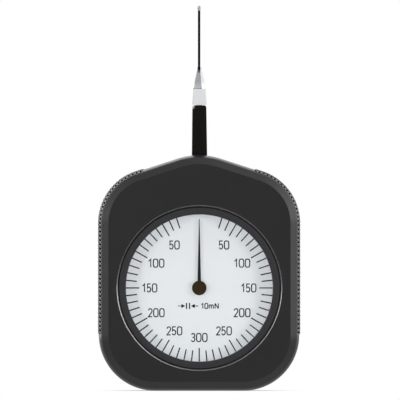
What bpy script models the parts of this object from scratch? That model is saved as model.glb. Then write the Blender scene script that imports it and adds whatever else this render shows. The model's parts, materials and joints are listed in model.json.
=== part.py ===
"""Two-way dial tension gauge: a flat case with a round dial and a feeler lever out of its top edge.

The gauge stands on its flat bottom edge. The dial faces -Y, the lever points to +Z and +X is to the
right of the dial. A sideways force on the ball turns the lever against a spiral spring on its shaft.
A sector gear on the same shaft turns the pinion that carries the pointer.

All lengths are in metres.
"""
import math

import bmesh
import bpy
from mathutils import Matrix

# Dial window
SIGHT_RADIUS = 0.0209
BEZEL_WIDTH = 0.0019
BEZEL_THICKNESS = 0.0010
BEZEL_RECESS = 0.0001
BEZEL_EDGE = 0.0002
BEZEL_GAP = 0.0004
WINDOW_BEVEL = 0.0003
CRYSTAL_THICKNESS = 0.0010
LEDGE_SETBACK = 0.0005
DIAL_MARGIN = 0.0020
DIAL_THICKNESS = 0.0005
DIAL_BORE = 0.0013
DIAL_FOOT_RADIUS = 0.0005
DIAL_FOOT_OFFSET = 0.0120
COLLAR_WALL = 0.0027
COLLAR_CLEARANCE = 0.00045

# Case
CASE_WALL = 0.0022
FRONT_PANEL = 0.0024
BOTTOM_CLEARANCE = 0.0012
HEADROOM = 0.0098
TOP_SLOPE = math.radians(18.0)
RIDGE_RADIUS = 0.0199
TOP_CORNER_RADIUS = 0.01535
BOTTOM_CORNER_RADIUS = 0.0159
SHOULDER_RADIUS = 0.0045
SHOULDER_INSET = 0.00095
BEVEL_WIDTH = 0.00145
BEVEL_DEPTH = 0.00145
BEVEL_POWER_SHARE = 1.35
SLOT_CLEARANCE = 0.00035
SLOT_SIDE_GAP = 0.0008

# Knurled grip bands
KNURL_PITCH = 0.00122
KNURL_ROW = 0.00118
KNURL_RUN_ON = 0.00244
KNURL_REAR_MARGIN = 0.0016
KNURL_BEAD = 0.00030
KNURL_RIDGE = 0.00008
KNURL_PIT = 0.00038

# Back cover
COVER_THICKNESS = 0.0024
COVER_ROUND = 0.0012
COVER_CLEARANCE = 0.00075
LIP_WIDTH = 0.0010
LIP_DEPTH = 0.0008
BOSS_RADIUS = 0.0025
BOSS_SETIN = 0.0018
COVER_SCREW_RADIUS = 0.00075
COVER_SCREW_HEAD = 0.0015
COVER_SCREW_HEAD_DEPTH = 0.0010
COVER_SCREW_RECESS = 0.0002
COVER_SCREW_GRIP = 0.0036

# Fits
SEAT_GAP = 0.00025
PIN_GAP = 0.00015
RUN_GAP = 0.00010
OVERRUN = 0.0010

# Pointer
NEEDLE_CLEARANCE = 0.00055
NEEDLE_THICKNESS = 0.0002
NEEDLE_TIP_CLEARANCE = 0.0013
NEEDLE_ROOT_WIDTH = 0.00088
NEEDLE_MIDDLE_WIDTH = 0.00048
NEEDLE_TIP_WIDTH = 0.00014
NEEDLE_EYE_RADIUS = 0.0016
HUB_RADIUS = 0.00207
HUB_NECK_RADIUS = 0.0009
HUB_CAP = 0.00035
GLASS_CLEARANCE = 0.00035
ARBOR_RADIUS = 0.00045

# Movement
PLATE_THICKNESS = 0.0010
REAR_PLATE_THICKNESS = 0.0008
TONGUE_HALF_WIDTH = 0.0095
TONGUE_CORNER = 0.0020
TONGUE_CLEARANCE = 0.0012
TONGUE_BELOW_DIAL = 0.0110
PLATE_SCREW_RADIUS = 0.0006
PLATE_SCREW_HEAD = 0.0011
PLATE_SCREW_HEAD_DEPTH = 0.0006
PLATE_SCREW_GRIP = 0.0012
PILLAR_RADIUS = 0.0012
PILLAR_SPIGOT_RADIUS = 0.0007
PILLAR_EDGE = 0.0019
PILLAR_RISE = 0.0028
PILLAR_BELOW_PIVOT = 0.0053
BRIDGE_SCREW_RADIUS = 0.0005
BRIDGE_SCREW_HEAD = 0.0010
BRIDGE_SCREW_HEAD_DEPTH = 0.0005
BRIDGE_SCREW_GRIP = 0.0018
JEWEL_RADIUS = 0.0012
BUSH_RADIUS = 0.0016

# Gears
GEAR_MODULE = 0.000295
PINION_TEETH = 10
GEAR_RATIO = 18
PRESSURE_ANGLE = math.radians(20.0)
TOOTH_THICKNESS_SHARE = 0.8
PINION_ADDENDUM_SHARE = 0.9
PINION_DEDENDUM_SHARE = 1.1
SECTOR_ADDENDUM_SHARE = 0.6
SECTOR_DEDENDUM_SHARE = 1.2
SWING = math.radians(10.0)
SECTOR_MARGIN = math.radians(3.0)
SECTOR_THICKNESS = 0.0007
SECTOR_RIM = 0.0020
SECTOR_ARM_HALF_WIDTH = 0.0022
SECTOR_HUB_RADIUS = 0.0034
PINION_OVERHANG = 0.0003

# Lever
LEVER_WIDTH = 0.00405
LEVER_THICKNESS = 0.0028
LEVER_RISE = 0.02395
LEVER_CORNER = 0.0004
LEVER_HUB_RADIUS = 0.0034
LEVER_SIDE_GAP = 0.0003
LEVER_SHAFT_RADIUS = 0.0010
LEVER_PIVOT_RADIUS = 0.0006
SECTOR_SIDE_GAP = 0.0002
SECTOR_SCREW_RADIUS = 0.0005
SECTOR_SCREW_HEAD = 0.0009
SECTOR_SCREW_HEAD_DEPTH = 0.0004
SECTOR_SCREW_GRIP = 0.0014
SECTOR_SCREW_OFFSET = 0.0022
HEAD_ROOM = 0.0004
HOLDER_LENGTH = 0.0108
HOLDER_TANG_RADIUS = 0.0008
HOLDER_TANG_LENGTH = 0.0030
STYLUS_RADIUS = 0.0003
STYLUS_LENGTH = 0.0181
STYLUS_SEAT = 0.0016
BALL_RADIUS = 0.00048
BALL_SEAT = 0.0002

# Springs
MAIN_SPRING_WIDTH = 0.0008
MAIN_SPRING_THICKNESS = 0.00022
MAIN_SPRING_TURNS = 4
MAIN_SPRING_CLEARANCE = 0.0013
MAIN_COLLET_RADIUS = 0.0019
HAIRSPRING_WIDTH = 0.0005
HAIRSPRING_THICKNESS = 0.00012
HAIRSPRING_TURNS = 4
HAIRSPRING_RADIUS = 0.0044
HAIR_COLLET_RADIUS = 0.0012
SPRING_SIDE_GAP = 0.0003
STUD_RADIUS = 0.0007
STUD_SPIGOT_RADIUS = 0.00035
STOP_PIN_RADIUS = 0.0006
STOP_PIN_DROP = 0.0140
STOP_SWING = math.radians(10.6)

# Shares of the tip holder's outline: height, width across the dial and depth
HOLDER_SECTION_SHARES = (
    (0.00, 1.00, 1.00),
    (0.225, 0.95, 1.00),
    (0.43, 0.865, 1.00),
    (0.645, 0.655, 0.72),
    (0.78, 0.49, 0.52),
    (0.91, 0.34, 0.42),
    (1.00, 0.29, 0.40),
)
HOLDER_CORNER_SHARE = 0.16

# Facet counts
BOTTOM_CORNER_STEPS = 8
RIDGE_STEPS = 4
BEVEL_STEPS = 4
COARSE_EVERY = 4
ROUND_STEPS = 60
SMALL_STEPS = 12
FINE_STEPS = 20
HOLE_STEPS = 8
HEAD_STEPS = 16
BALL_STEPS = 16
SPRING_STEPS = 12
RIM_STEPS = 4
TONGUE_STEPS = 4
COVER_ROUND_STEPS = 2
FLAT_ANGLE = math.radians(0.2)
SHARP_ANGLE = math.radians(30.0)
MERGE_DISTANCE = 0.000001

# Places worked out from the sizes above
WHEEL_TEETH = PINION_TEETH * GEAR_RATIO
PINION_PITCH_RADIUS = GEAR_MODULE * PINION_TEETH / 2
SECTOR_PITCH_RADIUS = GEAR_MODULE * WHEEL_TEETH / 2
BEZEL_RADIUS = SIGHT_RADIUS + BEZEL_WIDTH
WINDOW_RADIUS = BEZEL_RADIUS + BEZEL_GAP
LEDGE_RADIUS = SIGHT_RADIUS + LEDGE_SETBACK
DIAL_RADIUS = SIGHT_RADIUS + DIAL_MARGIN
DIAL_SEAT_RADIUS = DIAL_RADIUS + SEAT_GAP
COLLAR_RADIUS = DIAL_SEAT_RADIUS + COLLAR_WALL
PLATE_RADIUS = COLLAR_RADIUS - SEAT_GAP
PLATE_SCREW_CIRCLE = (DIAL_SEAT_RADIUS + COLLAR_RADIUS) / 2

HALF_WIDTH = COLLAR_RADIUS + COLLAR_CLEARANCE + CASE_WALL
DIAL_Z = CASE_WALL + BOTTOM_CLEARANCE + COLLAR_RADIUS
PIVOT_Z = DIAL_Z + PINION_PITCH_RADIUS + SECTOR_PITCH_RADIUS
CASE_HEIGHT = PIVOT_Z + HEADROOM

RIDGE_Z = CASE_HEIGHT - RIDGE_RADIUS
SLOPE_REACH = RIDGE_Z * math.cos(TOP_SLOPE) + RIDGE_RADIUS
TOP_CORNER_X = HALF_WIDTH - TOP_CORNER_RADIUS
TOP_CORNER_Z = (SLOPE_REACH - TOP_CORNER_RADIUS - TOP_CORNER_X * math.sin(TOP_SLOPE)) / math.cos(TOP_SLOPE)
BOTTOM_CORNER_X = HALF_WIDTH - BOTTOM_CORNER_RADIUS

LEDGE_THICKNESS = NEEDLE_CLEARANCE + NEEDLE_THICKNESS + PIN_GAP + HUB_CAP + GLASS_CLEARANCE - 2 * SEAT_GAP
MOVEMENT_ROOM = LEVER_SIDE_GAP + LEVER_THICKNESS + SECTOR_SIDE_GAP + SECTOR_THICKNESS + PIN_GAP
SECTOR_HEAD_ROOM = SECTOR_SCREW_HEAD_DEPTH + HEAD_ROOM
CASE_DEPTH = (
    BEZEL_RECESS + BEZEL_THICKNESS + CRYSTAL_THICKNESS + LEDGE_THICKNESS + DIAL_THICKNESS
    + PLATE_THICKNESS + MOVEMENT_ROOM + SECTOR_HEAD_ROOM + REAR_PLATE_THICKNESS
    + SPRING_SIDE_GAP + MAIN_SPRING_WIDTH + SPRING_SIDE_GAP + COVER_CLEARANCE + COVER_THICKNESS
    + 4 * SEAT_GAP
)

FRONT_Y = -CASE_DEPTH / 2
REAR_Y = CASE_DEPTH / 2
PANEL_Y = FRONT_Y + FRONT_PANEL
COVER_Y = REAR_Y - COVER_THICKNESS
RIM_Y = COVER_Y - SEAT_GAP
BEZEL_Y = FRONT_Y + BEZEL_RECESS
CRYSTAL_Y = BEZEL_Y + BEZEL_THICKNESS + SEAT_GAP
LEDGE_Y = CRYSTAL_Y + CRYSTAL_THICKNESS + SEAT_GAP
DIAL_SEAT_Y = LEDGE_Y + LEDGE_THICKNESS
DIAL_Y = DIAL_SEAT_Y + SEAT_GAP
COLLAR_Y = DIAL_Y + DIAL_THICKNESS
PLATE_Y = COLLAR_Y + SEAT_GAP
PLATE_BACK_Y = PLATE_Y + PLATE_THICKNESS
LEVER_Y = PLATE_BACK_Y + LEVER_SIDE_GAP
LEVER_BACK_Y = LEVER_Y + LEVER_THICKNESS
SECTOR_Y = LEVER_BACK_Y + SECTOR_SIDE_GAP
SECTOR_BACK_Y = SECTOR_Y + SECTOR_THICKNESS
REAR_PLATE_Y = SECTOR_BACK_Y + PIN_GAP + SECTOR_HEAD_ROOM
REAR_PLATE_BACK_Y = REAR_PLATE_Y + REAR_PLATE_THICKNESS
MAIN_SPRING_Y = REAR_PLATE_BACK_Y + SPRING_SIDE_GAP
MAIN_SPRING_BACK_Y = MAIN_SPRING_Y + MAIN_SPRING_WIDTH
SHAFT_END_Y = MAIN_SPRING_BACK_Y + SPRING_SIDE_GAP
NEEDLE_BACK_Y = DIAL_Y - NEEDLE_CLEARANCE
NEEDLE_Y = NEEDLE_BACK_Y - NEEDLE_THICKNESS
NEEDLE_REACH = SIGHT_RADIUS - NEEDLE_TIP_CLEARANCE
HUB_CAP_BACK_Y = NEEDLE_Y - PIN_GAP
HUB_Y = HUB_CAP_BACK_Y - HUB_CAP
PINION_Y = SECTOR_Y - PINION_OVERHANG
PINION_BACK_Y = SECTOR_BACK_Y + PINION_OVERHANG
HAIRSPRING_Y = PLATE_BACK_Y + 2 * SPRING_SIDE_GAP
HAIRSPRING_BACK_Y = HAIRSPRING_Y + HAIRSPRING_WIDTH

LEVER_TOP_Z = PIVOT_Z + LEVER_RISE
HOLDER_Z = LEVER_TOP_Z + PIN_GAP
HOLDER_TOP_Z = HOLDER_Z + HOLDER_LENGTH
STYLUS_Z = HOLDER_TOP_Z - STYLUS_SEAT
STYLUS_TOP_Z = STYLUS_Z + STYLUS_LENGTH
BALL_Z = STYLUS_TOP_Z + PIN_GAP + BALL_RADIUS - BALL_SEAT
LEVER_MIDDLE_Y = (LEVER_Y + LEVER_BACK_Y) / 2


def tongue_top():
    """Height of the movement plates' top edge, a clearance below the sloped top wall."""
    wall_line = SLOPE_REACH - CASE_WALL - TONGUE_CLEARANCE
    return (wall_line - TONGUE_HALF_WIDTH * math.sin(TOP_SLOPE)) / math.cos(TOP_SLOPE)


TONGUE_TOP_Z = tongue_top()
TONGUE_BOTTOM_Z = DIAL_Z - TONGUE_BELOW_DIAL
PILLAR_X = TONGUE_HALF_WIDTH - PILLAR_EDGE
PILLAR_PLACES = (
    (-PILLAR_X, TONGUE_BOTTOM_Z + PILLAR_RISE),
    (PILLAR_X, TONGUE_BOTTOM_Z + PILLAR_RISE),
    (-PILLAR_X, PIVOT_Z - PILLAR_BELOW_PIVOT),
    (PILLAR_X, PIVOT_Z - PILLAR_BELOW_PIVOT),
)
PLATE_SCREW_ANGLES = (math.radians(30.0), math.radians(150.0), math.radians(270.0))
HAIR_STUD_RADIUS = HAIRSPRING_RADIUS + STUD_RADIUS + PIN_GAP
MAIN_SPRING_RADIUS = HEADROOM - CASE_WALL - MAIN_SPRING_CLEARANCE
MAIN_STUD_RADIUS = MAIN_SPRING_RADIUS + STUD_RADIUS + PIN_GAP


def srgb(red, green, blue):
    """Linear colour of a screen colour given from 0 to 255."""
    shares = [channel / 255 for channel in (red, green, blue)]
    return tuple(s / 12.92 if s <= 0.04045 else ((s + 0.055) / 1.055) ** 2.4 for s in shares) + (1.0,)


FINISHES = {
    "case_black": (srgb(48, 48, 49), 0.55, 0.0),
    "bezel_grey": (srgb(60, 60, 62), 0.45, 0.0),
    "glass": (srgb(235, 240, 242), 0.05, 0.0),
    "dial_white": (srgb(236, 238, 240), 0.5, 0.0),
    "pointer_black": (srgb(34, 32, 30), 0.5, 0.0),
    "blued_steel": (srgb(40, 38, 34), 0.4, 0.9),
    "lever_black": (srgb(28, 25, 20), 0.45, 0.0),
    "bright_steel": (srgb(214, 216, 220), 0.25, 1.0),
    "brass": (srgb(196, 166, 98), 0.35, 1.0),
    "nickel": (srgb(190, 190, 188), 0.3, 1.0),
    "jewel_red": (srgb(150, 30, 50), 0.1, 0.0),
}


def clear_scene():
    """Remove what the default scene holds."""
    for item in list(bpy.data.objects):
        bpy.data.objects.remove(item, do_unlink=True)


def make_collection(name):
    """A new collection in the scene."""
    collection = bpy.data.collections.new(name)
    bpy.context.scene.collection.children.link(collection)
    return collection


def make_material(node_name, finish):
    """The Principled material of one piece."""
    colour, roughness, metallic = FINISHES[finish]
    material = bpy.data.materials.new(node_name + "_finish")
    material.use_nodes = True
    shader = material.node_tree.nodes["Principled BSDF"]
    shader.inputs["Base Color"].default_value = colour
    shader.inputs["Roughness"].default_value = roughness
    shader.inputs["Metallic"].default_value = metallic
    return material


clear_scene()
PARTS = make_collection("dial_tension_gauge")
CUTTERS = make_collection("cutters")


def add_object(name, data, finish=None):
    """Link a new object: a part where it has a finish, and otherwise a hidden cutting or joining tool."""
    item = bpy.data.objects.new(name, data)
    if finish is None:
        item.hide_render = True
        item.display_type = "WIRE"
        CUTTERS.objects.link(item)
    else:
        data.materials.append(make_material(name, finish))
        PARTS.objects.link(item)
    return item


def mesh_object(name, bm, finish=None):
    """An object from a finished bmesh, shaded smooth but for its sharp edges."""
    bmesh.ops.recalc_face_normals(bm, faces=bm.faces)
    mesh = bpy.data.meshes.new(name)
    bm.to_mesh(mesh)
    bm.free()
    mesh.shade_smooth()
    mesh.set_sharp_from_angle(angle=SHARP_ANGLE)
    return add_object(name, mesh, finish)


def combine(item, tool, operation):
    """Add an exact Boolean of item with tool."""
    modifier = item.modifiers.new(operation.lower() + "_" + tool.name, "BOOLEAN")
    modifier.operation = operation
    modifier.solver = "EXACT"
    modifier.object = tool


def cut(item, tool):
    """Take tool's space out of item."""
    combine(item, tool, "DIFFERENCE")


def join(item, tool):
    """Make tool's solid one with item's."""
    combine(item, tool, "UNION")


def pivot_empty(name, x, z):
    """An empty on a moving body's axis, which carries that body's pieces."""
    empty = bpy.data.objects.new(name, None)
    empty.location = (x, 0, z)
    PARTS.objects.link(empty)
    return empty


def carry(empty, *pieces):
    """Parent pieces to an empty and keep them where they are."""
    for piece in pieces:
        piece.parent = empty
        piece.matrix_parent_inverse = Matrix.Translation(-empty.location)


def rod_profile(radius, y_front, y_back):
    """Turned profile of a plain rod, as (radius, y) from the back to the front."""
    return [(0, y_back), (radius, y_back), (radius, y_front), (0, y_front)]


def ring_profile(inner, outer, y_front, y_back):
    """Turned profile of a plain ring, as (radius, y) from the back to the front and round again."""
    return [(inner, y_back), (outer, y_back), (outer, y_front), (inner, y_front)]


def turned(name, profile, place, finish=None, steps=SMALL_STEPS, ring=False):
    """A shape turned about an axis along Y through place (x, z)."""
    bm = bmesh.new()
    points = [bm.verts.new((radius, 0, y)) for radius, y in profile]
    for first, second in zip(points, points[1:]):
        bm.edges.new((first, second))
    if ring:
        bm.edges.new((points[-1], points[0]))
    mesh = bpy.data.meshes.new(name)
    bm.to_mesh(mesh)
    bm.free()
    item = add_object(name, mesh, finish)
    item.location = (place[0], 0, place[1])
    item.rotation_euler = (-math.pi / 2, 0, 0)
    screw = item.modifiers.new("turning", "SCREW")
    screw.axis = "Z"
    screw.angle = 2 * math.pi
    screw.screw_offset = 0
    screw.steps = steps
    screw.render_steps = steps
    screw.use_merge_vertices = True
    screw.merge_threshold = MERGE_DISTANCE
    screw.use_smooth_shade = True
    return item


def circle_points(centre_x, centre_z, radius, steps=HOLE_STEPS):
    """Points of a circle in the X-Z plane."""
    angles = [2 * math.pi * step / steps for step in range(steps)]
    return [(centre_x + radius * math.cos(a), centre_z + radius * math.sin(a)) for a in angles]


def flat_piece(name, outline, y_front, y_back, finish=None, holes=()):
    """A flat plate with the given X-Z outline and holes, between two Y planes."""
    curve = bpy.data.curves.new(name, "CURVE")
    curve.dimensions = "2D"
    curve.fill_mode = "BOTH"
    curve.extrude = (y_back - y_front) / 2
    for points in (outline, *holes):
        spline = curve.splines.new("POLY")
        spline.points.add(len(points) - 1)
        for point, (x, z) in zip(spline.points, points):
            point.co = (x, z, 0, 1)
        spline.use_cyclic_u = True
    item = add_object(name, curve, finish)
    item.rotation_euler = (math.pi / 2, 0, 0)
    item.location = (0, (y_front + y_back) / 2, 0)
    return item


def solid_from_curve(item):
    """A mesh object in place of a filled curve, with its caps joined on, so that it can be cut."""
    name = item.name
    material = item.data.materials[0]
    bpy.context.view_layer.update()
    graph = bpy.context.evaluated_depsgraph_get()
    mesh = bpy.data.meshes.new_from_object(item.evaluated_get(graph))
    place = item.matrix_world.copy()
    bpy.data.objects.remove(item, do_unlink=True)
    bm = bmesh.new()
    bm.from_mesh(mesh)
    bmesh.ops.remove_doubles(bm, verts=bm.verts, dist=MERGE_DISTANCE)
    bmesh.ops.recalc_face_normals(bm, faces=bm.faces)
    bm.to_mesh(mesh)
    bm.free()
    solid = bpy.data.objects.new(name, mesh)
    mesh.materials.clear()
    mesh.materials.append(material)
    solid.matrix_world = place
    PARTS.objects.link(solid)
    return solid


def drill(name, holes, steps=SMALL_STEPS):
    """One tool of separate cylinders along Y, each given as (x, z, radius, y_front, y_back)."""
    bm = bmesh.new()
    for x, z, radius, y_front, y_back in holes:
        turn = Matrix.Rotation(math.pi / 2, 4, "X")
        place = Matrix.Translation((x, (y_front + y_back) / 2, z))
        bmesh.ops.create_cone(
            bm, cap_ends=True, segments=steps, radius1=radius, radius2=radius,
            depth=y_back - y_front, matrix=place @ turn,
        )
    return mesh_object(name, bm)


def block(name, low, high):
    """A box between two corners."""
    bm = bmesh.new()
    middle = [(a + b) / 2 for a, b in zip(low, high)]
    sides = [b - a for a, b in zip(low, high)]
    scale = Matrix.Diagonal((*sides, 1))
    bmesh.ops.create_cube(bm, size=1, matrix=Matrix.Translation(middle) @ scale)
    return mesh_object(name, bm)


def knurl_counts():
    """Half cells of the grip band along the side, round the top corner and on the slope."""
    side = TOP_CORNER_Z - BOTTOM_CORNER_RADIUS
    corner = TOP_CORNER_RADIUS * (math.pi / 2 - TOP_SLOPE)
    return [2 * max(1, round(length / KNURL_PITCH)) for length in (side, corner, KNURL_RUN_ON)]


def half_outline(inset):
    """Right half of the case's outline from bottom to ridge, as (x, z, knurl column or None)."""
    points = []
    for step in range(BOTTOM_CORNER_STEPS):
        angle = -math.pi / 2 * (1 - step / BOTTOM_CORNER_STEPS)
        radius = BOTTOM_CORNER_RADIUS - inset
        x = BOTTOM_CORNER_X + radius * math.cos(angle)
        z = BOTTOM_CORNER_RADIUS + radius * math.sin(angle)
        points.append((x, z, None))
    side, corner, run_on = knurl_counts()
    for column in range(side):
        z = BOTTOM_CORNER_RADIUS + (TOP_CORNER_Z - BOTTOM_CORNER_RADIUS) * column / side
        points.append((HALF_WIDTH - inset, z, column))
    reach = TOP_CORNER_RADIUS - inset
    for column in range(corner + 1):
        angle = (math.pi / 2 - TOP_SLOPE) * column / corner
        x = TOP_CORNER_X + reach * math.cos(angle)
        z = TOP_CORNER_Z + reach * math.sin(angle)
        points.append((x, z, side + column))
    corner_x, corner_z, last = points[-1]
    for column in range(1, run_on + 1):
        along = KNURL_RUN_ON * column / run_on
        x = corner_x - along * math.cos(TOP_SLOPE)
        z = corner_z + along * math.sin(TOP_SLOPE)
        points.append((x, z, last + column))
    for step in range(RIDGE_STEPS + 1):
        angle = math.pi / 2 - TOP_SLOPE * (1 - step / RIDGE_STEPS)
        radius = RIDGE_RADIUS - inset
        x = radius * math.cos(angle) if step < RIDGE_STEPS else 0
        points.append((x, RIDGE_Z + radius * math.sin(angle), None))
    return points


def case_outline(inset):
    """The whole outline of the case, moved in by inset, counter-clockwise as seen from the front."""
    right = half_outline(inset)
    left = [(-x, z, column) for x, z, column in reversed(right[:-1])]
    return right + left


def coarse_indices():
    """Places in the outline that the smooth rings use, with most knurl columns left out."""
    outline = case_outline(0)
    side, corner, run_on = knurl_counts()
    ends = {0, side, side + corner + run_on}
    kept = []
    for index, (_x, _z, column) in enumerate(outline):
        on_corner = column is not None and side < column <= side + corner
        if column is None or column in ends or (on_corner and (column - side) % COARSE_EVERY == 0):
            kept.append(index)
    return kept


COARSE = coarse_indices()


def coarse_outline(inset):
    """The case's outline with only the points that a smooth piece needs, as (x, z)."""
    outline = case_outline(inset)
    return [outline[index][:2] for index in COARSE]


def ring_faces(bm, first, second):
    """Quads between two rings of as many vertices."""
    count = len(first)
    for here in range(count):
        after = (here + 1) % count
        bm.faces.new((first[here], first[after], second[after], second[here]))


def loft(name, sections, finish=None):
    """A closed solid through rings of the case's outline, given as (inset, y)."""
    bm = bmesh.new()
    rings = [[bm.verts.new((x, y, z)) for x, z in coarse_outline(inset)] for inset, y in sections]
    for first, second in zip(rings, rings[1:]):
        ring_faces(bm, first, second)
    bm.faces.new(rings[0])
    bm.faces.new(rings[-1])
    return mesh_object(name, bm, finish)


def side_levels():
    """Rows of the case's side from the bevel to the rim, as (inset, y)."""
    turn = math.acos(1 - SHOULDER_INSET / SHOULDER_RADIUS)
    front = FRONT_Y + BEVEL_DEPTH
    arc_rows = max(1, round(SHOULDER_RADIUS * turn / KNURL_ROW))
    levels = []
    for row in range(arc_rows):
        angle = turn * (1 - row / arc_rows)
        inset = SHOULDER_RADIUS * (1 - math.cos(angle))
        levels.append((inset, front + SHOULDER_RADIUS * (math.sin(turn) - math.sin(angle))))
    start = front + SHOULDER_RADIUS * math.sin(turn)
    end = RIM_Y - KNURL_REAR_MARGIN
    flat_rows = max(1, round((end - start) / KNURL_ROW))
    levels += [(0, start + (end - start) * row / flat_rows) for row in range(flat_rows + 1)]
    return levels


def knurl_height(column, row, last_column, last_row):
    """How far a grid point of the grip band stands out of the smooth side."""
    if column is None or column in (0, last_column) or row in (0, last_row):
        return 0
    if (column + row) % 2:
        return -KNURL_PIT
    return KNURL_BEAD if row % 2 else KNURL_RIDGE


def knurl_cells(bm, columns, first, second, row):
    """Faces between two side rings, with the grip band's cells split along their ridges."""
    count = len(first)
    for here in range(count):
        after = (here + 1) % count
        corners = [first[here], first[after], second[after], second[here]]
        knurled = columns[here] is not None and columns[after] is not None
        if not knurled or abs(columns[here] - columns[after]) != 1:
            bm.faces.new(corners)
            continue
        if (columns[here] + row) % 2:
            corners = corners[1:] + corners[:1]
        bm.faces.new((corners[0], corners[1], corners[2]))
        bm.faces.new((corners[0], corners[2], corners[3]))


def fan_faces(bm, fine, coarse):
    """Faces between a ring of all the outline's points and a ring of the coarse ones."""
    count = len(fine)
    for here in range(len(COARSE)):
        after = (here + 1) % len(COARSE)
        start = COARSE[here]
        end = COARSE[after] + (count if COARSE[after] <= start else 0)
        run = [fine[index % count] for index in range(start, end + 1)]
        middle = len(run) // 2
        for index, (first, second) in enumerate(zip(run, run[1:])):
            corner = coarse[here] if index < middle else coarse[after]
            bm.faces.new((first, second, corner))
        bm.faces.new((run[middle], coarse[after], coarse[here]))


def bevel_levels():
    """Rings of the soft bevel round the case's front, as (inset, y)."""
    power = 2 / BEVEL_POWER_SHARE
    levels = []
    for step in range(1, BEVEL_STEPS + 1):
        angle = math.pi / 2 * step / BEVEL_STEPS
        across = 1 - max(math.cos(angle), 0) ** power
        down = 1 - math.sin(angle) ** power
        levels.append((SHOULDER_INSET + BEVEL_WIDTH * across, FRONT_Y + BEVEL_DEPTH * down))
    return levels


def case_block():
    """The case's outer form, solid inside: knurled sides, rounded shoulder and soft front bevel."""
    bm = bmesh.new()
    levels = side_levels()
    columns = [column for _x, _z, column in case_outline(0)]
    last_column = sum(knurl_counts())
    last_row = len(levels) - 1
    rings = []
    for row, (inset, y) in enumerate(levels):
        outlines = {}
        ring = []
        for index, column in enumerate(columns):
            height = knurl_height(column, row, last_column, last_row)
            if height not in outlines:
                outlines[height] = case_outline(inset - height)
            x, z, _column = outlines[height][index]
            ring.append(bm.verts.new((x, y, z)))
        rings.append(ring)
    for row, (first, second) in enumerate(zip(rings, rings[1:])):
        knurl_cells(bm, columns, first, second, row)
    front = [[bm.verts.new((x, y, z)) for x, z in coarse_outline(inset)] for inset, y in bevel_levels()]
    fan_faces(bm, rings[0], front[0])
    for first, second in zip(front, front[1:]):
        ring_faces(bm, first, second)
    bm.faces.new(front[-1])
    rim = [bm.verts.new((x, RIM_Y, z)) for x, z in coarse_outline(0)]
    fan_faces(bm, rings[-1], rim)
    bm.faces.new(rim)
    bmesh.ops.recalc_face_normals(bm, faces=bm.faces)
    bmesh.ops.dissolve_limit(bm, angle_limit=FLAT_ANGLE, verts=bm.verts, edges=bm.edges)
    return mesh_object("front_case", bm, "case_black")


def boss_places():
    """Centres of the four cover screws, as (x, z)."""
    low_reach = BOTTOM_CORNER_RADIUS - CASE_WALL - BOSS_SETIN
    low = (
        BOTTOM_CORNER_X + low_reach * math.cos(math.pi / 4),
        BOTTOM_CORNER_RADIUS - low_reach * math.sin(math.pi / 4),
    )
    high_reach = TOP_CORNER_RADIUS - CASE_WALL - BOSS_SETIN
    middle = (math.pi / 2 - TOP_SLOPE) / 2
    high = (TOP_CORNER_X + high_reach * math.cos(middle), TOP_CORNER_Z + high_reach * math.sin(middle))
    return [(side * x, z) for x, z in (low, high) for side in (-1, 1)]


def plate_screw_places():
    """Centres of the screws that hold the movement on the window's collar, as (x, z)."""
    reach = PLATE_SCREW_CIRCLE
    return [(reach * math.cos(a), DIAL_Z + reach * math.sin(a)) for a in PLATE_SCREW_ANGLES]


def lever_slot():
    """The tool for the slot that the lever swings in, through the top wall."""
    half = LEVER_WIDTH / 2 / math.cos(SWING) + HEADROOM * math.tan(SWING) + SLOT_CLEARANCE
    low = (-half, LEVER_Y - SLOT_SIDE_GAP, CASE_HEIGHT - 2 * CASE_WALL)
    high = (half, LEVER_BACK_Y + SLOT_SIDE_GAP, CASE_HEIGHT + OVERRUN)
    return block("slot_cutter", low, high)


def build_front_case():
    """The case: a knurled shell with the window's collar, four screw bosses and the lever's slot."""
    case = case_block()
    cut(case, loft("cavity_cutter", [(CASE_WALL, PANEL_Y), (CASE_WALL, RIM_Y + OVERRUN)]))
    collar = turned("collar_tool", rod_profile(COLLAR_RADIUS, PANEL_Y - OVERRUN, COLLAR_Y),
                    (0, DIAL_Z), steps=ROUND_STEPS)
    join(case, collar)
    boss_back = COVER_Y - LIP_DEPTH - SEAT_GAP
    bosses = [(x, z, BOSS_RADIUS, PANEL_Y - OVERRUN, boss_back) for x, z in boss_places()]
    join(case, drill("boss_tool", bosses))
    window = [
        (0, COLLAR_Y + OVERRUN),
        (DIAL_SEAT_RADIUS, COLLAR_Y + OVERRUN),
        (DIAL_SEAT_RADIUS, DIAL_SEAT_Y),
        (LEDGE_RADIUS, DIAL_SEAT_Y),
        (LEDGE_RADIUS, LEDGE_Y),
        (WINDOW_RADIUS, LEDGE_Y),
        (WINDOW_RADIUS, FRONT_Y + WINDOW_BEVEL),
        (WINDOW_RADIUS + WINDOW_BEVEL + OVERRUN, FRONT_Y - OVERRUN),
        (0, FRONT_Y - OVERRUN),
    ]
    hole = COVER_SCREW_RADIUS + PIN_GAP
    depth = COVER_SCREW_GRIP + SEAT_GAP
    holes = [(x, z, hole, boss_back - depth, boss_back + OVERRUN) for x, z in boss_places()]
    hole = PLATE_SCREW_RADIUS + PIN_GAP
    depth = PLATE_SCREW_GRIP + SEAT_GAP
    holes += [(x, z, hole, COLLAR_Y - depth, COLLAR_Y + OVERRUN) for x, z in plate_screw_places()]
    cut(case, drill("case_hole_cutter", holes))
    cut(case, lever_slot())
    cut(case, turned("window_cutter", window, (0, DIAL_Z), steps=ROUND_STEPS))
    return case


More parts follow.
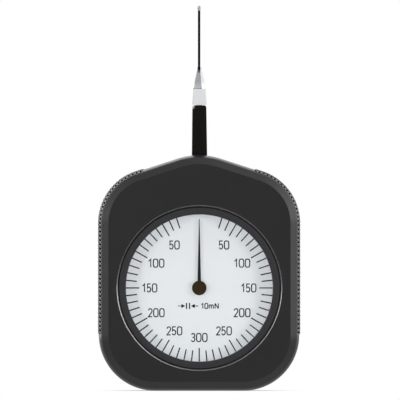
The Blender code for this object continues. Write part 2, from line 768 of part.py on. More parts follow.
def slotted_screw(name, place, profile, head_back, slot_depth, head_radius, finish, steps=SMALL_STEPS):
    """A turned screw with a driving slot across its head."""
    screw = turned(name, profile, place, finish, steps)
    half = slot_depth / 2
    reach = head_radius + OVERRUN
    low = (place[0] - reach, head_back - slot_depth, place[1] - half)
    high = (place[0] + reach, head_back + OVERRUN, place[1] + half)
    cut(screw, block(name + "_slot_cutter", low, high))
    return screw


def cheese_screw(name, place, seat_y, radius, head_radius, head_depth, grip, finish="nickel"):
    """A cheese-head screw that goes in along -Y, with its head's underside a gap behind seat_y."""
    under = seat_y + PIN_GAP
    profile = [
        (0, under + head_depth),
        (head_radius, under + head_depth),
        (head_radius, under),
        (radius, under),
        (radius, seat_y - grip),
        (0, seat_y - grip),
    ]
    return slotted_screw(name, place, profile, under + head_depth, head_depth / 2, head_radius, finish)


def build_back_cover():
    """The flat back cover with its locating lip, and its four flush screws."""
    sections = [(0, COVER_Y)]
    for step in range(COVER_ROUND_STEPS + 1):
        angle = math.pi / 2 * step / COVER_ROUND_STEPS
        inset = COVER_ROUND * (1 - math.cos(angle))
        sections.append((inset, REAR_Y - COVER_ROUND * (1 - math.sin(angle))))
    cover = loft("back_cover", sections, "case_black")
    lip_inset = CASE_WALL + SEAT_GAP
    lip_y = COVER_Y - LIP_DEPTH
    lip = loft("lip_tool", [(lip_inset, lip_y), (lip_inset, COVER_Y + OVERRUN)])
    join(cover, lip)
    inner = lip_inset + LIP_WIDTH
    cut(cover, loft("lip_cutter", [(inner, lip_y - OVERRUN), (inner, COVER_Y)]))
    head_y = REAR_Y - COVER_SCREW_RECESS
    neck_y = head_y - COVER_SCREW_HEAD_DEPTH
    for number, place in enumerate(boss_places(), start=1):
        clear = COVER_SCREW_RADIUS + PIN_GAP
        wide = COVER_SCREW_HEAD + PIN_GAP
        countersink = [
            (0, REAR_Y + OVERRUN),
            (wide, REAR_Y + OVERRUN),
            (wide, head_y - PIN_GAP),
            (clear, neck_y - PIN_GAP),
            (clear, lip_y - OVERRUN),
            (0, lip_y - OVERRUN),
        ]
        cut(cover, turned("countersink_cutter_" + str(number), countersink, place, steps=HEAD_STEPS))
        profile = [
            (0, head_y),
            (COVER_SCREW_HEAD, head_y),
            (COVER_SCREW_RADIUS, neck_y),
            (COVER_SCREW_RADIUS, lip_y - SEAT_GAP - COVER_SCREW_GRIP),
            (0, lip_y - SEAT_GAP - COVER_SCREW_GRIP),
        ]
        name = "cover_screw_" + str(number)
        slot = COVER_SCREW_HEAD_DEPTH / 2
        slotted_screw(name, place, profile, head_y, slot, COVER_SCREW_HEAD, "nickel", HEAD_STEPS)


def build_window():
    """The bezel ring and the crystal under it."""
    bezel = [
        (SIGHT_RADIUS, BEZEL_Y + BEZEL_THICKNESS),
        (BEZEL_RADIUS, BEZEL_Y + BEZEL_THICKNESS),
        (BEZEL_RADIUS, BEZEL_Y + BEZEL_EDGE),
        (BEZEL_RADIUS - BEZEL_EDGE, BEZEL_Y),
        (SIGHT_RADIUS + BEZEL_EDGE, BEZEL_Y),
        (SIGHT_RADIUS, BEZEL_Y + BEZEL_EDGE),
    ]
    turned("bezel_ring", bezel, (0, DIAL_Z), "bezel_grey", ROUND_STEPS, ring=True)
    crystal = rod_profile(BEZEL_RADIUS, CRYSTAL_Y, CRYSTAL_Y + CRYSTAL_THICKNESS)
    turned("crystal", crystal, (0, DIAL_Z), "glass", ROUND_STEPS)


def build_dial():
    """The dial plate with the two feet that locate it on the movement."""
    disc = circle_points(0, DIAL_Z, DIAL_RADIUS, ROUND_STEPS)
    bore = circle_points(0, DIAL_Z, DIAL_BORE, SMALL_STEPS)
    dial = solid_from_curve(flat_piece("dial_plate", disc, DIAL_Y, COLLAR_Y, "dial_white", [bore]))
    middle = (DIAL_Y + COLLAR_Y) / 2
    feet = [(side * DIAL_FOOT_OFFSET, DIAL_Z, DIAL_FOOT_RADIUS, middle, PLATE_BACK_Y) for side in (-1, 1)]
    join(dial, drill("dial_feet_tool", feet))


def tongue_outline():
    """The rounded rectangle that both movement plates share, as (x, z)."""
    x = TONGUE_HALF_WIDTH - TONGUE_CORNER
    low = TONGUE_BOTTOM_Z + TONGUE_CORNER
    high = TONGUE_TOP_Z - TONGUE_CORNER
    corners = ((x, low, 3), (x, high, 0), (-x, high, 1), (-x, low, 2))
    points = []
    for centre_x, centre_z, quarter in corners:
        for step in range(TONGUE_STEPS + 1):
            angle = math.pi / 2 * (quarter + step / TONGUE_STEPS)
            reach = TONGUE_CORNER
            points.append((centre_x + reach * math.cos(angle), centre_z + reach * math.sin(angle)))
    return points


def front_plate_outline():
    """A disc on the window's collar with a tongue that reaches up past the lever's shaft, as (x, z)."""
    join_angle = math.acos(TONGUE_HALF_WIDTH / PLATE_RADIUS)
    sweep = 2 * math.pi - (math.pi - 2 * join_angle)
    points = []
    for step in range(ROUND_STEPS // 2 + 1):
        angle = math.pi - join_angle + sweep * step / (ROUND_STEPS // 2)
        points.append((PLATE_RADIUS * math.cos(angle), DIAL_Z + PLATE_RADIUS * math.sin(angle)))
    for side, first in ((1, 0), (-1, math.pi / 2)):
        for step in range(TONGUE_STEPS + 1):
            angle = first + math.pi / 2 * step / TONGUE_STEPS
            x = side * (TONGUE_HALF_WIDTH - TONGUE_CORNER) + TONGUE_CORNER * math.cos(angle)
            z = TONGUE_TOP_Z - TONGUE_CORNER + TONGUE_CORNER * math.sin(angle)
            points.append((x, z))
    return points


def main_stud_place():
    """Where the main spring's outer end is held, as (x, z)."""
    return (MAIN_STUD_RADIUS, PIVOT_Z)


def hair_stud_place():
    """Where the hairspring's outer end is held, as (x, z)."""
    return (HAIR_STUD_RADIUS, DIAL_Z)


def stop_places():
    """Centres of the two stop pins beside the sector's arm, as (x, z)."""
    reach = (SECTOR_ARM_HALF_WIDTH + STOP_PIN_RADIUS + PIN_GAP) / STOP_PIN_DROP
    angle = STOP_SWING + math.asin(reach)
    x = STOP_PIN_DROP * math.sin(angle)
    z = PIVOT_Z - STOP_PIN_DROP * math.cos(angle)
    return [(-x, z), (x, z)]


def bearing_holes():
    """The holes that both movement plates have for their jewel and their lever bush."""
    return [
        circle_points(0, DIAL_Z, JEWEL_RADIUS + PIN_GAP, FINE_STEPS),
        circle_points(0, PIVOT_Z, BUSH_RADIUS + PIN_GAP, FINE_STEPS),
    ]


def build_plates():
    """The movement's two plates, their pillars and all their screws."""
    spigot = PILLAR_SPIGOT_RADIUS + PIN_GAP
    holes = [circle_points(x, z, spigot) for x, z in PILLAR_PLACES]
    screw_hole = PLATE_SCREW_RADIUS + PIN_GAP
    holes += [circle_points(x, z, screw_hole) for x, z in plate_screw_places()]
    foot = DIAL_FOOT_RADIUS + PIN_GAP
    holes += [circle_points(side * DIAL_FOOT_OFFSET, DIAL_Z, foot) for side in (-1, 1)]
    holes += bearing_holes()
    stud = STUD_SPIGOT_RADIUS + PIN_GAP
    holes.append(circle_points(*hair_stud_place(), stud))
    flat_piece("movement_front_plate", front_plate_outline(), PLATE_Y, PLATE_BACK_Y, "brass", holes)

    screw_hole = BRIDGE_SCREW_RADIUS + PIN_GAP
    holes = [circle_points(x, z, screw_hole) for x, z in PILLAR_PLACES]
    holes += bearing_holes()
    holes.append(circle_points(*main_stud_place(), stud))
    pin = STOP_PIN_RADIUS + PIN_GAP
    holes += [circle_points(x, z, pin) for x, z in stop_places()]
    flat_piece("movement_rear_plate", tongue_outline(), REAR_PLATE_Y, REAR_PLATE_BACK_Y, "brass", holes)

    for number, place in enumerate(PILLAR_PLACES, start=1):
        top = REAR_PLATE_Y - PIN_GAP
        bore = BRIDGE_SCREW_RADIUS + PIN_GAP
        bore_end = REAR_PLATE_BACK_Y - REAR_PLATE_THICKNESS - BRIDGE_SCREW_GRIP
        profile = [
            (0, bore_end),
            (bore, bore_end),
            (bore, top),
            (PILLAR_RADIUS, top),
            (PILLAR_RADIUS, PLATE_BACK_Y + PIN_GAP),
            (PILLAR_SPIGOT_RADIUS, PLATE_BACK_Y + PIN_GAP),
            (PILLAR_SPIGOT_RADIUS, PLATE_Y),
            (0, PLATE_Y),
        ]
        turned("pillar_" + str(number), profile, place, "brass")
        cheese_screw("bridge_screw_" + str(number), place, REAR_PLATE_BACK_Y, BRIDGE_SCREW_RADIUS,
                     BRIDGE_SCREW_HEAD, BRIDGE_SCREW_HEAD_DEPTH, BRIDGE_SCREW_GRIP, "blued_steel")
    for number, place in enumerate(plate_screw_places(), start=1):
        cheese_screw("plate_screw_" + str(number), place, PLATE_BACK_Y, PLATE_SCREW_RADIUS,
                     PLATE_SCREW_HEAD, PLATE_SCREW_HEAD_DEPTH, PLATE_SCREW_GRIP + PLATE_THICKNESS)


def build_bearings():
    """The pointer arbor's two jewels and the lever shaft's two bushes."""
    arbor_bore = ARBOR_RADIUS + RUN_GAP
    front = ring_profile(arbor_bore, JEWEL_RADIUS, PLATE_Y, PLATE_BACK_Y)
    turned("front_jewel", front, (0, DIAL_Z), "jewel_red", ring=True)
    rear = ring_profile(arbor_bore, JEWEL_RADIUS, REAR_PLATE_Y, REAR_PLATE_BACK_Y)
    turned("rear_jewel", rear, (0, DIAL_Z), "jewel_red", ring=True)
    shaft_bore = LEVER_PIVOT_RADIUS + RUN_GAP
    front = ring_profile(shaft_bore, BUSH_RADIUS, PLATE_Y, PLATE_BACK_Y)
    turned("front_lever_bush", front, (0, PIVOT_Z), "nickel", ring=True)
    rear = ring_profile(shaft_bore, BUSH_RADIUS, REAR_PLATE_Y, REAR_PLATE_BACK_Y)
    turned("rear_lever_bush", rear, (0, PIVOT_Z), "nickel", ring=True)


def flank_angle(radius, pitch_radius, teeth):
    """Half the angle that an involute tooth covers at a radius."""
    base = pitch_radius * math.cos(PRESSURE_ANGLE)
    spread = math.acos(min(1, base / max(radius, base)))
    at_pitch = math.tan(PRESSURE_ANGLE) - PRESSURE_ANGLE
    here = math.tan(spread) - spread
    return math.pi / (2 * teeth) * TOOTH_THICKNESS_SHARE + at_pitch - here


def tooth_points(centre_angle, radii, pitch_radius, teeth):
    """One gear tooth as (radius, angle), in the sense of growing angle."""
    rise = [(r, centre_angle - flank_angle(r, pitch_radius, teeth)) for r in radii]
    fall = [(r, centre_angle + flank_angle(r, pitch_radius, teeth)) for r in reversed(radii)]
    return rise + fall


def polar(points, centre_z):
    """X-Z points from (radius, angle) about the axis at centre_z."""
    return [(r * math.cos(a), centre_z + r * math.sin(a)) for r, a in points]


def build_pinion():
    """The pinion on the pointer's arbor, with a tooth space straight up where the sector meshes."""
    root = PINION_PITCH_RADIUS - PINION_DEDENDUM_SHARE * GEAR_MODULE
    tip = PINION_PITCH_RADIUS + PINION_ADDENDUM_SHARE * GEAR_MODULE
    radii = [root, PINION_PITCH_RADIUS, tip]
    points = []
    for tooth in range(PINION_TEETH):
        angle = math.pi / 2 + 2 * math.pi * (tooth + 1 / 2) / PINION_TEETH
        points += tooth_points(angle, radii, PINION_PITCH_RADIUS, PINION_TEETH)
    bore = circle_points(0, DIAL_Z, ARBOR_RADIUS + PIN_GAP)
    outline = polar(points, DIAL_Z)
    return flat_piece("centre_pinion", outline, PINION_Y, PINION_BACK_Y, "nickel", [bore])


def sector_outline():
    """The sector gear: a toothed rim on one arm below its hub, as (x, z)."""
    root = SECTOR_PITCH_RADIUS - SECTOR_DEDENDUM_SHARE * GEAR_MODULE
    tip = SECTOR_PITCH_RADIUS + SECTOR_ADDENDUM_SHARE * GEAR_MODULE
    half_angle = SWING + SECTOR_MARGIN
    step = 2 * math.pi / WHEEL_TEETH
    side_teeth = int(half_angle / step)
    down = -math.pi / 2
    points = [(root, down - half_angle)]
    for tooth in range(-side_teeth, side_teeth + 1):
        radii = [root, SECTOR_PITCH_RADIUS, tip]
        points += tooth_points(down + tooth * step, radii, SECTOR_PITCH_RADIUS, WHEEL_TEETH)
    points.append((root, down + half_angle))
    rim = root - SECTOR_RIM
    arm = SECTOR_ARM_HALF_WIDTH
    arm_low = math.asin(arm / rim)
    for index in range(RIM_STEPS + 1):
        share = index / RIM_STEPS
        points.append((rim, down + half_angle + (arm_low - half_angle) * share))
    hub_angle = math.asin(arm / SECTOR_HUB_RADIUS)
    sweep = 2 * math.pi - 2 * hub_angle
    for index in range(FINE_STEPS + 1):
        points.append((SECTOR_HUB_RADIUS, down + hub_angle + sweep * index / FINE_STEPS))
    for index in range(RIM_STEPS + 1):
        share = index / RIM_STEPS
        points.append((rim, down - arm_low - (half_angle - arm_low) * share))
    return polar(points, PIVOT_Z)


def spiral_outline(centre_z, inner, outer, turns, thickness):
    """A spiral strip that starts on the right of its collet and ends on the right, as (x, z)."""
    count = turns * SPRING_STEPS
    rise = (outer - inner) / count
    outside = [(inner + rise * k + thickness, 2 * math.pi * k / SPRING_STEPS) for k in range(count + 1)]
    inside = [(inner + rise * k, 2 * math.pi * k / SPRING_STEPS) for k in range(count + 1)]
    return polar(outside + inside[::-1], centre_z)


def stepped_stud(name, place, plate_front, plate_back, stud_back):
    """A round stud behind a plate, with a thinner spigot through it."""
    seat = plate_back + PIN_GAP
    profile = [
        (0, stud_back),
        (STUD_RADIUS, stud_back),
        (STUD_RADIUS, seat),
        (STUD_SPIGOT_RADIUS, seat),
        (STUD_SPIGOT_RADIUS, plate_front),
        (0, plate_front),
    ]
    turned(name, profile, place, "brass")


def build_springs():
    """The main spring behind the rear plate and the hairspring behind the front plate."""
    inner = MAIN_COLLET_RADIUS + PIN_GAP
    outer = MAIN_SPRING_RADIUS - MAIN_SPRING_THICKNESS
    outline = spiral_outline(PIVOT_Z, inner, outer, MAIN_SPRING_TURNS, MAIN_SPRING_THICKNESS)
    flat_piece("main_spring", outline, MAIN_SPRING_Y, MAIN_SPRING_BACK_Y, "blued_steel")
    stepped_stud("main_spring_stud", main_stud_place(), REAR_PLATE_Y, REAR_PLATE_BACK_Y, MAIN_SPRING_BACK_Y)
    inner = HAIR_COLLET_RADIUS + PIN_GAP
    outer = HAIRSPRING_RADIUS - HAIRSPRING_THICKNESS
    outline = spiral_outline(DIAL_Z, inner, outer, HAIRSPRING_TURNS, HAIRSPRING_THICKNESS)
    flat_piece("hairspring", outline, HAIRSPRING_Y, HAIRSPRING_BACK_Y, "blued_steel")
    stepped_stud("hairspring_stud", hair_stud_place(), PLATE_Y, PLATE_BACK_Y, HAIRSPRING_BACK_Y)
    for name, place in zip(("stop_pin_left", "stop_pin_right"), stop_places()):
        profile = rod_profile(STOP_PIN_RADIUS, SECTOR_Y - PINION_OVERHANG, REAR_PLATE_BACK_Y)
        turned(name, profile, place, "nickel")


def build_pointer():
    """The pointer's body: needle, hub, arbor, pinion and hairspring collet, on one axis."""
    eye = [
        (NEEDLE_EYE_RADIUS * math.cos(a), DIAL_Z + NEEDLE_EYE_RADIUS * math.sin(a))
        for a in [math.pi / 2 + 2 * math.pi * step / SMALL_STEPS for step in range(1, SMALL_STEPS)]
    ]
    root = NEEDLE_ROOT_WIDTH / 2
    blade = [
        (root, DIAL_Z + NEEDLE_EYE_RADIUS),
        (NEEDLE_MIDDLE_WIDTH / 2, DIAL_Z + NEEDLE_REACH / 2),
        (NEEDLE_TIP_WIDTH / 2, DIAL_Z + NEEDLE_REACH),
    ]
    outline = eye + blade + [(-x, z) for x, z in reversed(blade)]
    bore = circle_points(0, DIAL_Z, HUB_NECK_RADIUS + RUN_GAP)
    needle = flat_piece("pointer_needle", outline, NEEDLE_Y, NEEDLE_BACK_Y, "pointer_black", [bore])

    bore_radius = ARBOR_RADIUS + RUN_GAP
    hub_end = NEEDLE_BACK_Y + NEEDLE_CLEARANCE / 2
    profile = [
        (0, HUB_CAP_BACK_Y),
        (bore_radius, HUB_CAP_BACK_Y),
        (bore_radius, hub_end),
        (HUB_NECK_RADIUS, hub_end),
        (HUB_NECK_RADIUS, HUB_CAP_BACK_Y),
        (HUB_RADIUS, HUB_CAP_BACK_Y),
        (HUB_RADIUS, HUB_Y + HUB_CAP / 2),
        (HUB_RADIUS - HUB_CAP / 2, HUB_Y),
        (0, HUB_Y),
    ]
    hub = turned("pointer_hub", profile, (0, DIAL_Z), "pointer_black", HEAD_STEPS)
    arbor_end = REAR_PLATE_BACK_Y + SPRING_SIDE_GAP
    profile = rod_profile(ARBOR_RADIUS, HUB_CAP_BACK_Y + PIN_GAP, arbor_end)
    arbor = turned("pointer_arbor", profile, (0, DIAL_Z), "bright_steel")
    pinion = build_pinion()
    profile = ring_profile(ARBOR_RADIUS + PIN_GAP, HAIR_COLLET_RADIUS,
                           PLATE_BACK_Y + SPRING_SIDE_GAP, HAIRSPRING_BACK_Y)
    collet = turned("hairspring_collet", profile, (0, DIAL_Z), "brass", ring=True)
    carry(pivot_empty("pointer_axis", 0, DIAL_Z), needle, hub, arbor, pinion, collet)


def lever_outline():
    """The lever: a bar with cut corners on a round hub, as (x, z)."""
    half = LEVER_WIDTH / 2
    top = LEVER_TOP_Z
    root_angle = math.acos(half / LEVER_HUB_RADIUS)
    sweep = math.pi + 2 * root_angle
    points = [(half, top - LEVER_CORNER), (half - LEVER_CORNER, top)]
    points += [(-x, z) for x, z in reversed(points)]
    for step in range(FINE_STEPS + 1):
        angle = math.pi - root_angle + sweep * step / FINE_STEPS
        points.append((LEVER_HUB_RADIUS * math.cos(angle), PIVOT_Z + LEVER_HUB_RADIUS * math.sin(angle)))
    return points


def upright_rod(name, radius, z_low, z_high, finish=None, steps=SMALL_STEPS):
    """A rod along Z in the middle of the lever's thickness."""
    bm = bmesh.new()
    place = Matrix.Translation((0, LEVER_MIDDLE_Y, (z_low + z_high) / 2))
    bmesh.ops.create_cone(
        bm, cap_ends=True, segments=steps, radius1=radius, radius2=radius,
        depth=z_high - z_low, matrix=place,
    )
    return mesh_object(name, bm, finish)


def build_tip_holder():
    """The tapered holder: a loft of squares with cut corners, on a round tang in the bar's end.

    A groove that is open to the front takes the stylus's lower end.
    """
    bm = bmesh.new()
    rings = []
    for height_share, width_share, depth_share in HOLDER_SECTION_SHARES:
        half_x = LEVER_WIDTH / 2 * width_share
        half_y = LEVER_THICKNESS / 2 * depth_share
        corner = HOLDER_CORNER_SHARE * min(half_x, half_y) * (1 + height_share)
        z = HOLDER_Z + HOLDER_LENGTH * height_share
        corners = (
            (half_x, half_y - corner), (half_x - corner, half_y),
            (corner - half_x, half_y), (-half_x, half_y - corner),
            (-half_x, corner - half_y), (corner - half_x, -half_y),
            (half_x - corner, -half_y), (half_x, corner - half_y),
        )
        rings.append([bm.verts.new((x, LEVER_MIDDLE_Y + y, z)) for x, y in corners])
    for first, second in zip(rings, rings[1:]):
        ring_faces(bm, first, second)
    bm.faces.new(rings[0])
    bm.faces.new(rings[-1])
    holder = mesh_object("tip_holder", bm, "bright_steel")
    tang = upright_rod("tang_tool", HOLDER_TANG_RADIUS, HOLDER_Z - HOLDER_TANG_LENGTH, HOLDER_Z + OVERRUN)
    join(holder, tang)
    seat = STYLUS_RADIUS + RUN_GAP
    low, high = STYLUS_Z - RUN_GAP, HOLDER_TOP_Z + OVERRUN
    cut(holder, upright_rod("stylus_seat_cutter", seat, low, high))
    cut(holder, block("stylus_groove_cutter", (-seat, FRONT_Y, low), (seat, LEVER_MIDDLE_Y, high)))
    return holder


def build_lever():
    """The lever's body: bar, tip, shaft, sector gear and main spring collet, on one axis."""
    bore = circle_points(0, PIVOT_Z, LEVER_SHAFT_RADIUS + RUN_GAP)
    screw_hole = SECTOR_SCREW_RADIUS + PIN_GAP
    screw_places = [(side * SECTOR_SCREW_OFFSET, PIVOT_Z) for side in (-1, 1)]
    outline = lever_outline()
    bar = solid_from_curve(flat_piece("lever_bar", outline, LEVER_Y, LEVER_BACK_Y, "lever_black", [bore]))
    tang_hole = HOLDER_TANG_RADIUS + RUN_GAP
    depth = HOLDER_TANG_LENGTH + RUN_GAP
    cut(bar, upright_rod("tang_seat_cutter", tang_hole, HOLDER_Z - depth, LEVER_TOP_Z + OVERRUN))
    grip = SECTOR_SCREW_GRIP + PIN_GAP
    holes = [(x, z, screw_hole, LEVER_BACK_Y - grip, LEVER_BACK_Y + OVERRUN) for x, z in screw_places]
    cut(bar, drill("sector_screw_cutter", holes))

    holder = build_tip_holder()
    stylus = upright_rod("stylus", STYLUS_RADIUS, STYLUS_Z, STYLUS_TOP_Z, "lever_black")
    bm = bmesh.new()
    place = Matrix.Translation((0, LEVER_MIDDLE_Y, BALL_Z))
    bmesh.ops.create_uvsphere(
        bm, u_segments=BALL_STEPS, v_segments=BALL_STEPS // 2, radius=BALL_RADIUS, matrix=place
    )
    ball = mesh_object("contact_ball", bm, "bright_steel")
    seat = STYLUS_RADIUS + RUN_GAP
    cut(ball, upright_rod("ball_seat_cutter", seat, STYLUS_TOP_Z - OVERRUN, STYLUS_TOP_Z + PIN_GAP))

    profile = [
        (0, SHAFT_END_Y),
        (LEVER_PIVOT_RADIUS, SHAFT_END_Y),
        (LEVER_PIVOT_RADIUS, REAR_PLATE_Y - PIN_GAP),
        (LEVER_SHAFT_RADIUS, REAR_PLATE_Y - PIN_GAP),
        (LEVER_SHAFT_RADIUS, PLATE_BACK_Y + PIN_GAP),
        (LEVER_PIVOT_RADIUS, PLATE_BACK_Y + PIN_GAP),
        (LEVER_PIVOT_RADIUS, PLATE_Y),
        (0, PLATE_Y),
    ]
    shaft = turned("lever_shaft", profile, (0, PIVOT_Z), "bright_steel")
    holes = [bore] + [circle_points(x, z, screw_hole) for x, z in screw_places]
    sector = flat_piece("sector_gear", sector_outline(), SECTOR_Y, SECTOR_BACK_Y, "brass", holes)
    screws = [
        cheese_screw(name, place, SECTOR_BACK_Y, SECTOR_SCREW_RADIUS, SECTOR_SCREW_HEAD,
                     SECTOR_SCREW_HEAD_DEPTH, SECTOR_SCREW_GRIP + SECTOR_THICKNESS + SECTOR_SIDE_GAP)
        for name, place in zip(("sector_screw_left", "sector_screw_right"), screw_places)
    ]
    profile = ring_profile(LEVER_PIVOT_RADIUS + RUN_GAP, MAIN_COLLET_RADIUS,
                           MAIN_SPRING_Y, MAIN_SPRING_BACK_Y)
    collet = turned("main_spring_collet", profile, (0, PIVOT_Z), "brass", ring=True)
    axis = pivot_empty("lever_axis", 0, PIVOT_Z)
    carry(axis, bar, holder, stylus, ball, shaft, sector, collet, *screws)


def main():
    """Build every piece of the gauge."""
    build_front_case()
    build_back_cover()
    build_window()
    build_dial()
    build_plates()
    build_bearings()
    build_springs()
    build_pointer()
    build_lever()
    bpy.context.view_layer.update()


main()
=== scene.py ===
"""Looks of a two-way dial tension gauge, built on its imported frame.

The gauge stands on its flat bottom edge, with its dial towards -Y and its feeler lever towards +Z.
Every length is in metres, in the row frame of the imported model.
"""
from __future__ import annotations

import json
import logging
import math
from abc import ABC, abstractmethod
from dataclasses import dataclass, field
from enum import Enum
from typing import Iterable, Iterator, Mapping, NamedTuple, Optional, Sequence, Union

import bmesh
import bpy
from mathutils import Matrix, Vector

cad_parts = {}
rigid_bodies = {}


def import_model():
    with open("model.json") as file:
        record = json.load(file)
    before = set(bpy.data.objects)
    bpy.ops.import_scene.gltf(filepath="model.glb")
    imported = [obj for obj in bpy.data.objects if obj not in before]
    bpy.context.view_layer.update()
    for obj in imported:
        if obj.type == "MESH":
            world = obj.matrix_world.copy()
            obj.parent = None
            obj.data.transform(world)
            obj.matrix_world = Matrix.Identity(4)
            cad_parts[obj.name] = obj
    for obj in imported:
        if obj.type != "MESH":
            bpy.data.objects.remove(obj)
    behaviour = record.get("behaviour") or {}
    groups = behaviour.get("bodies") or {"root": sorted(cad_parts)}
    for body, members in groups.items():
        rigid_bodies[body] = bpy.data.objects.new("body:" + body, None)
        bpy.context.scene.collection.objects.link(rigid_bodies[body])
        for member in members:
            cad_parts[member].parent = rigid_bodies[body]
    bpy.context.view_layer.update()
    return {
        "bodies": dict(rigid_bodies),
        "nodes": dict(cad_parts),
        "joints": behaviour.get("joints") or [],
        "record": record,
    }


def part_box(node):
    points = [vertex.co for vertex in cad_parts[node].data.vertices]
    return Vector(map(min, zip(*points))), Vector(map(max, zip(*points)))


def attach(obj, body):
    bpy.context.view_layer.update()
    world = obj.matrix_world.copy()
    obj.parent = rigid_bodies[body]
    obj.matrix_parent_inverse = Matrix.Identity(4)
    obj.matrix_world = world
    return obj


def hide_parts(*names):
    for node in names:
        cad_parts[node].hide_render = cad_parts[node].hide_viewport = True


LOG = logging.getLogger("dial_tension_gauge")
WELD_DISTANCE = 0.0000005
OVERRUN = 0.001
SHARP_ANGLE = math.radians(34.0)
FACET_ANGLE = math.radians(12.0)
BEVEL_ANGLE = math.radians(25.0)
BORE_STEPS = 24
ROD_STEPS = 32
HEAD_STEPS = 48
HUB_STEPS = 96

Point2 = tuple[float, float]
Point3 = tuple[float, float, float]
Rgb = tuple[float, float, float]
Node = bpy.types.Node
Socket = bpy.types.NodeSocket
Piece = bpy.types.Object
Mesh = bmesh.types.BMesh
Vertices = Sequence[bmesh.types.BMVert]


class Body(Enum):
    """The bodies that pieces ride on."""

    CASE = "case"
    LEVER = "lever"
    POINTER = "pointer"


class Slot(Enum):
    """Names of the record's material slots, one listed with each new piece."""

    CASE_SHELL = "case_shell"
    BEZEL = "bezel"
    CRYSTAL = "crystal"
    POINTER = "pointer"
    LEVER = "lever"
    BRIGHT_STEEL = "bright_steel"
    NICKEL_STEEL = "nickel_steel"


class Axis(Enum):
    """Which way a turned shape's axis points."""

    Y = "y"
    Z = "z"


class Boolean(Enum):
    """How a tool changes the solid that it is used on."""

    CUT = "DIFFERENCE"
    JOIN = "UNION"


class Blend(Enum):
    """How the second of two colours is laid over the first."""

    MIX = "MIX"
    MULTIPLY = "MULTIPLY"


def linear(colour: Rgb) -> tuple[float, float, float, float]:
    """Turn a screen colour into a linear one.

    Args:
        colour: Red, green and blue from 0 to 255.

    Returns:
        The linear colour with an alpha of 1.
    """
    shares = [channel / 255 for channel in colour]
    return (*[s / 12.92 if s <= 0.04045 else ((s + 0.055) / 1.055) ** 2.4 for s in shares], 1.0)


class Signal:
    """A number that a shader works out at each point, for use in Python expressions."""

    def __init__(self, graph: Graph, socket: Socket) -> None:
        """Wrap an output socket of the graph."""
        self.graph = graph
        self.socket = socket

    def maths(self, operation: str, *values: Value) -> Signal:
        """Add a Math node.

        Args:
            operation: The node's operation.
            values: What its inputs get, in order.

        Returns:
            The node's result.
        """
        node = self.graph.node("ShaderNodeMath", {"operation": operation}, dict(enumerate(values)))
        return Signal(self.graph, node.outputs[0])

    def __add__(self, other: Value) -> Signal:
        """Sum of two values."""
        return self.maths("ADD", self, other)

    __radd__ = __add__

    def __sub__(self, other: Value) -> Signal:
        """Difference of two values."""
        return self.maths("SUBTRACT", self, other)

    def __rsub__(self, other: Value) -> Signal:
        """Difference with this value taken from a number."""
        return self.maths("SUBTRACT", other, self)

    def __mul__(self, other: Value) -> Signal:
        """Product of two values."""
        return self.maths("MULTIPLY", self, other)

    __rmul__ = __mul__

    def sine(self) -> Signal:
        """Sine of this value in radians."""
        return self.maths("SINE", self)

    def larger(self, other: Value) -> Signal:
        """The larger of two values."""
        return self.maths("MAXIMUM", self, other)

    def ramp(self, low: float, high: float) -> Signal:
        """Rise smoothly from 0 at low to 1 at high."""
        settings = {"interpolation_type": "SMOOTHSTEP", "clamp": True}
        inputs = {0: self, 1: low, 2: high, 3: 0.0, 4: 1.0}
        node = self.graph.node("ShaderNodeMapRange", settings, inputs)
        return Signal(self.graph, node.outputs[0])

    def between(self, low: float, high: float, fade: float) -> Signal:
        """1 from low to high, and 0 further than fade outside them."""
        return self.ramp(low - fade, low) * (1 - self.ramp(high, high + fade))


Value = Union[float, Signal]
Colour = Union[Rgb, Socket]
Input = Union[float, tuple, Signal, Socket]


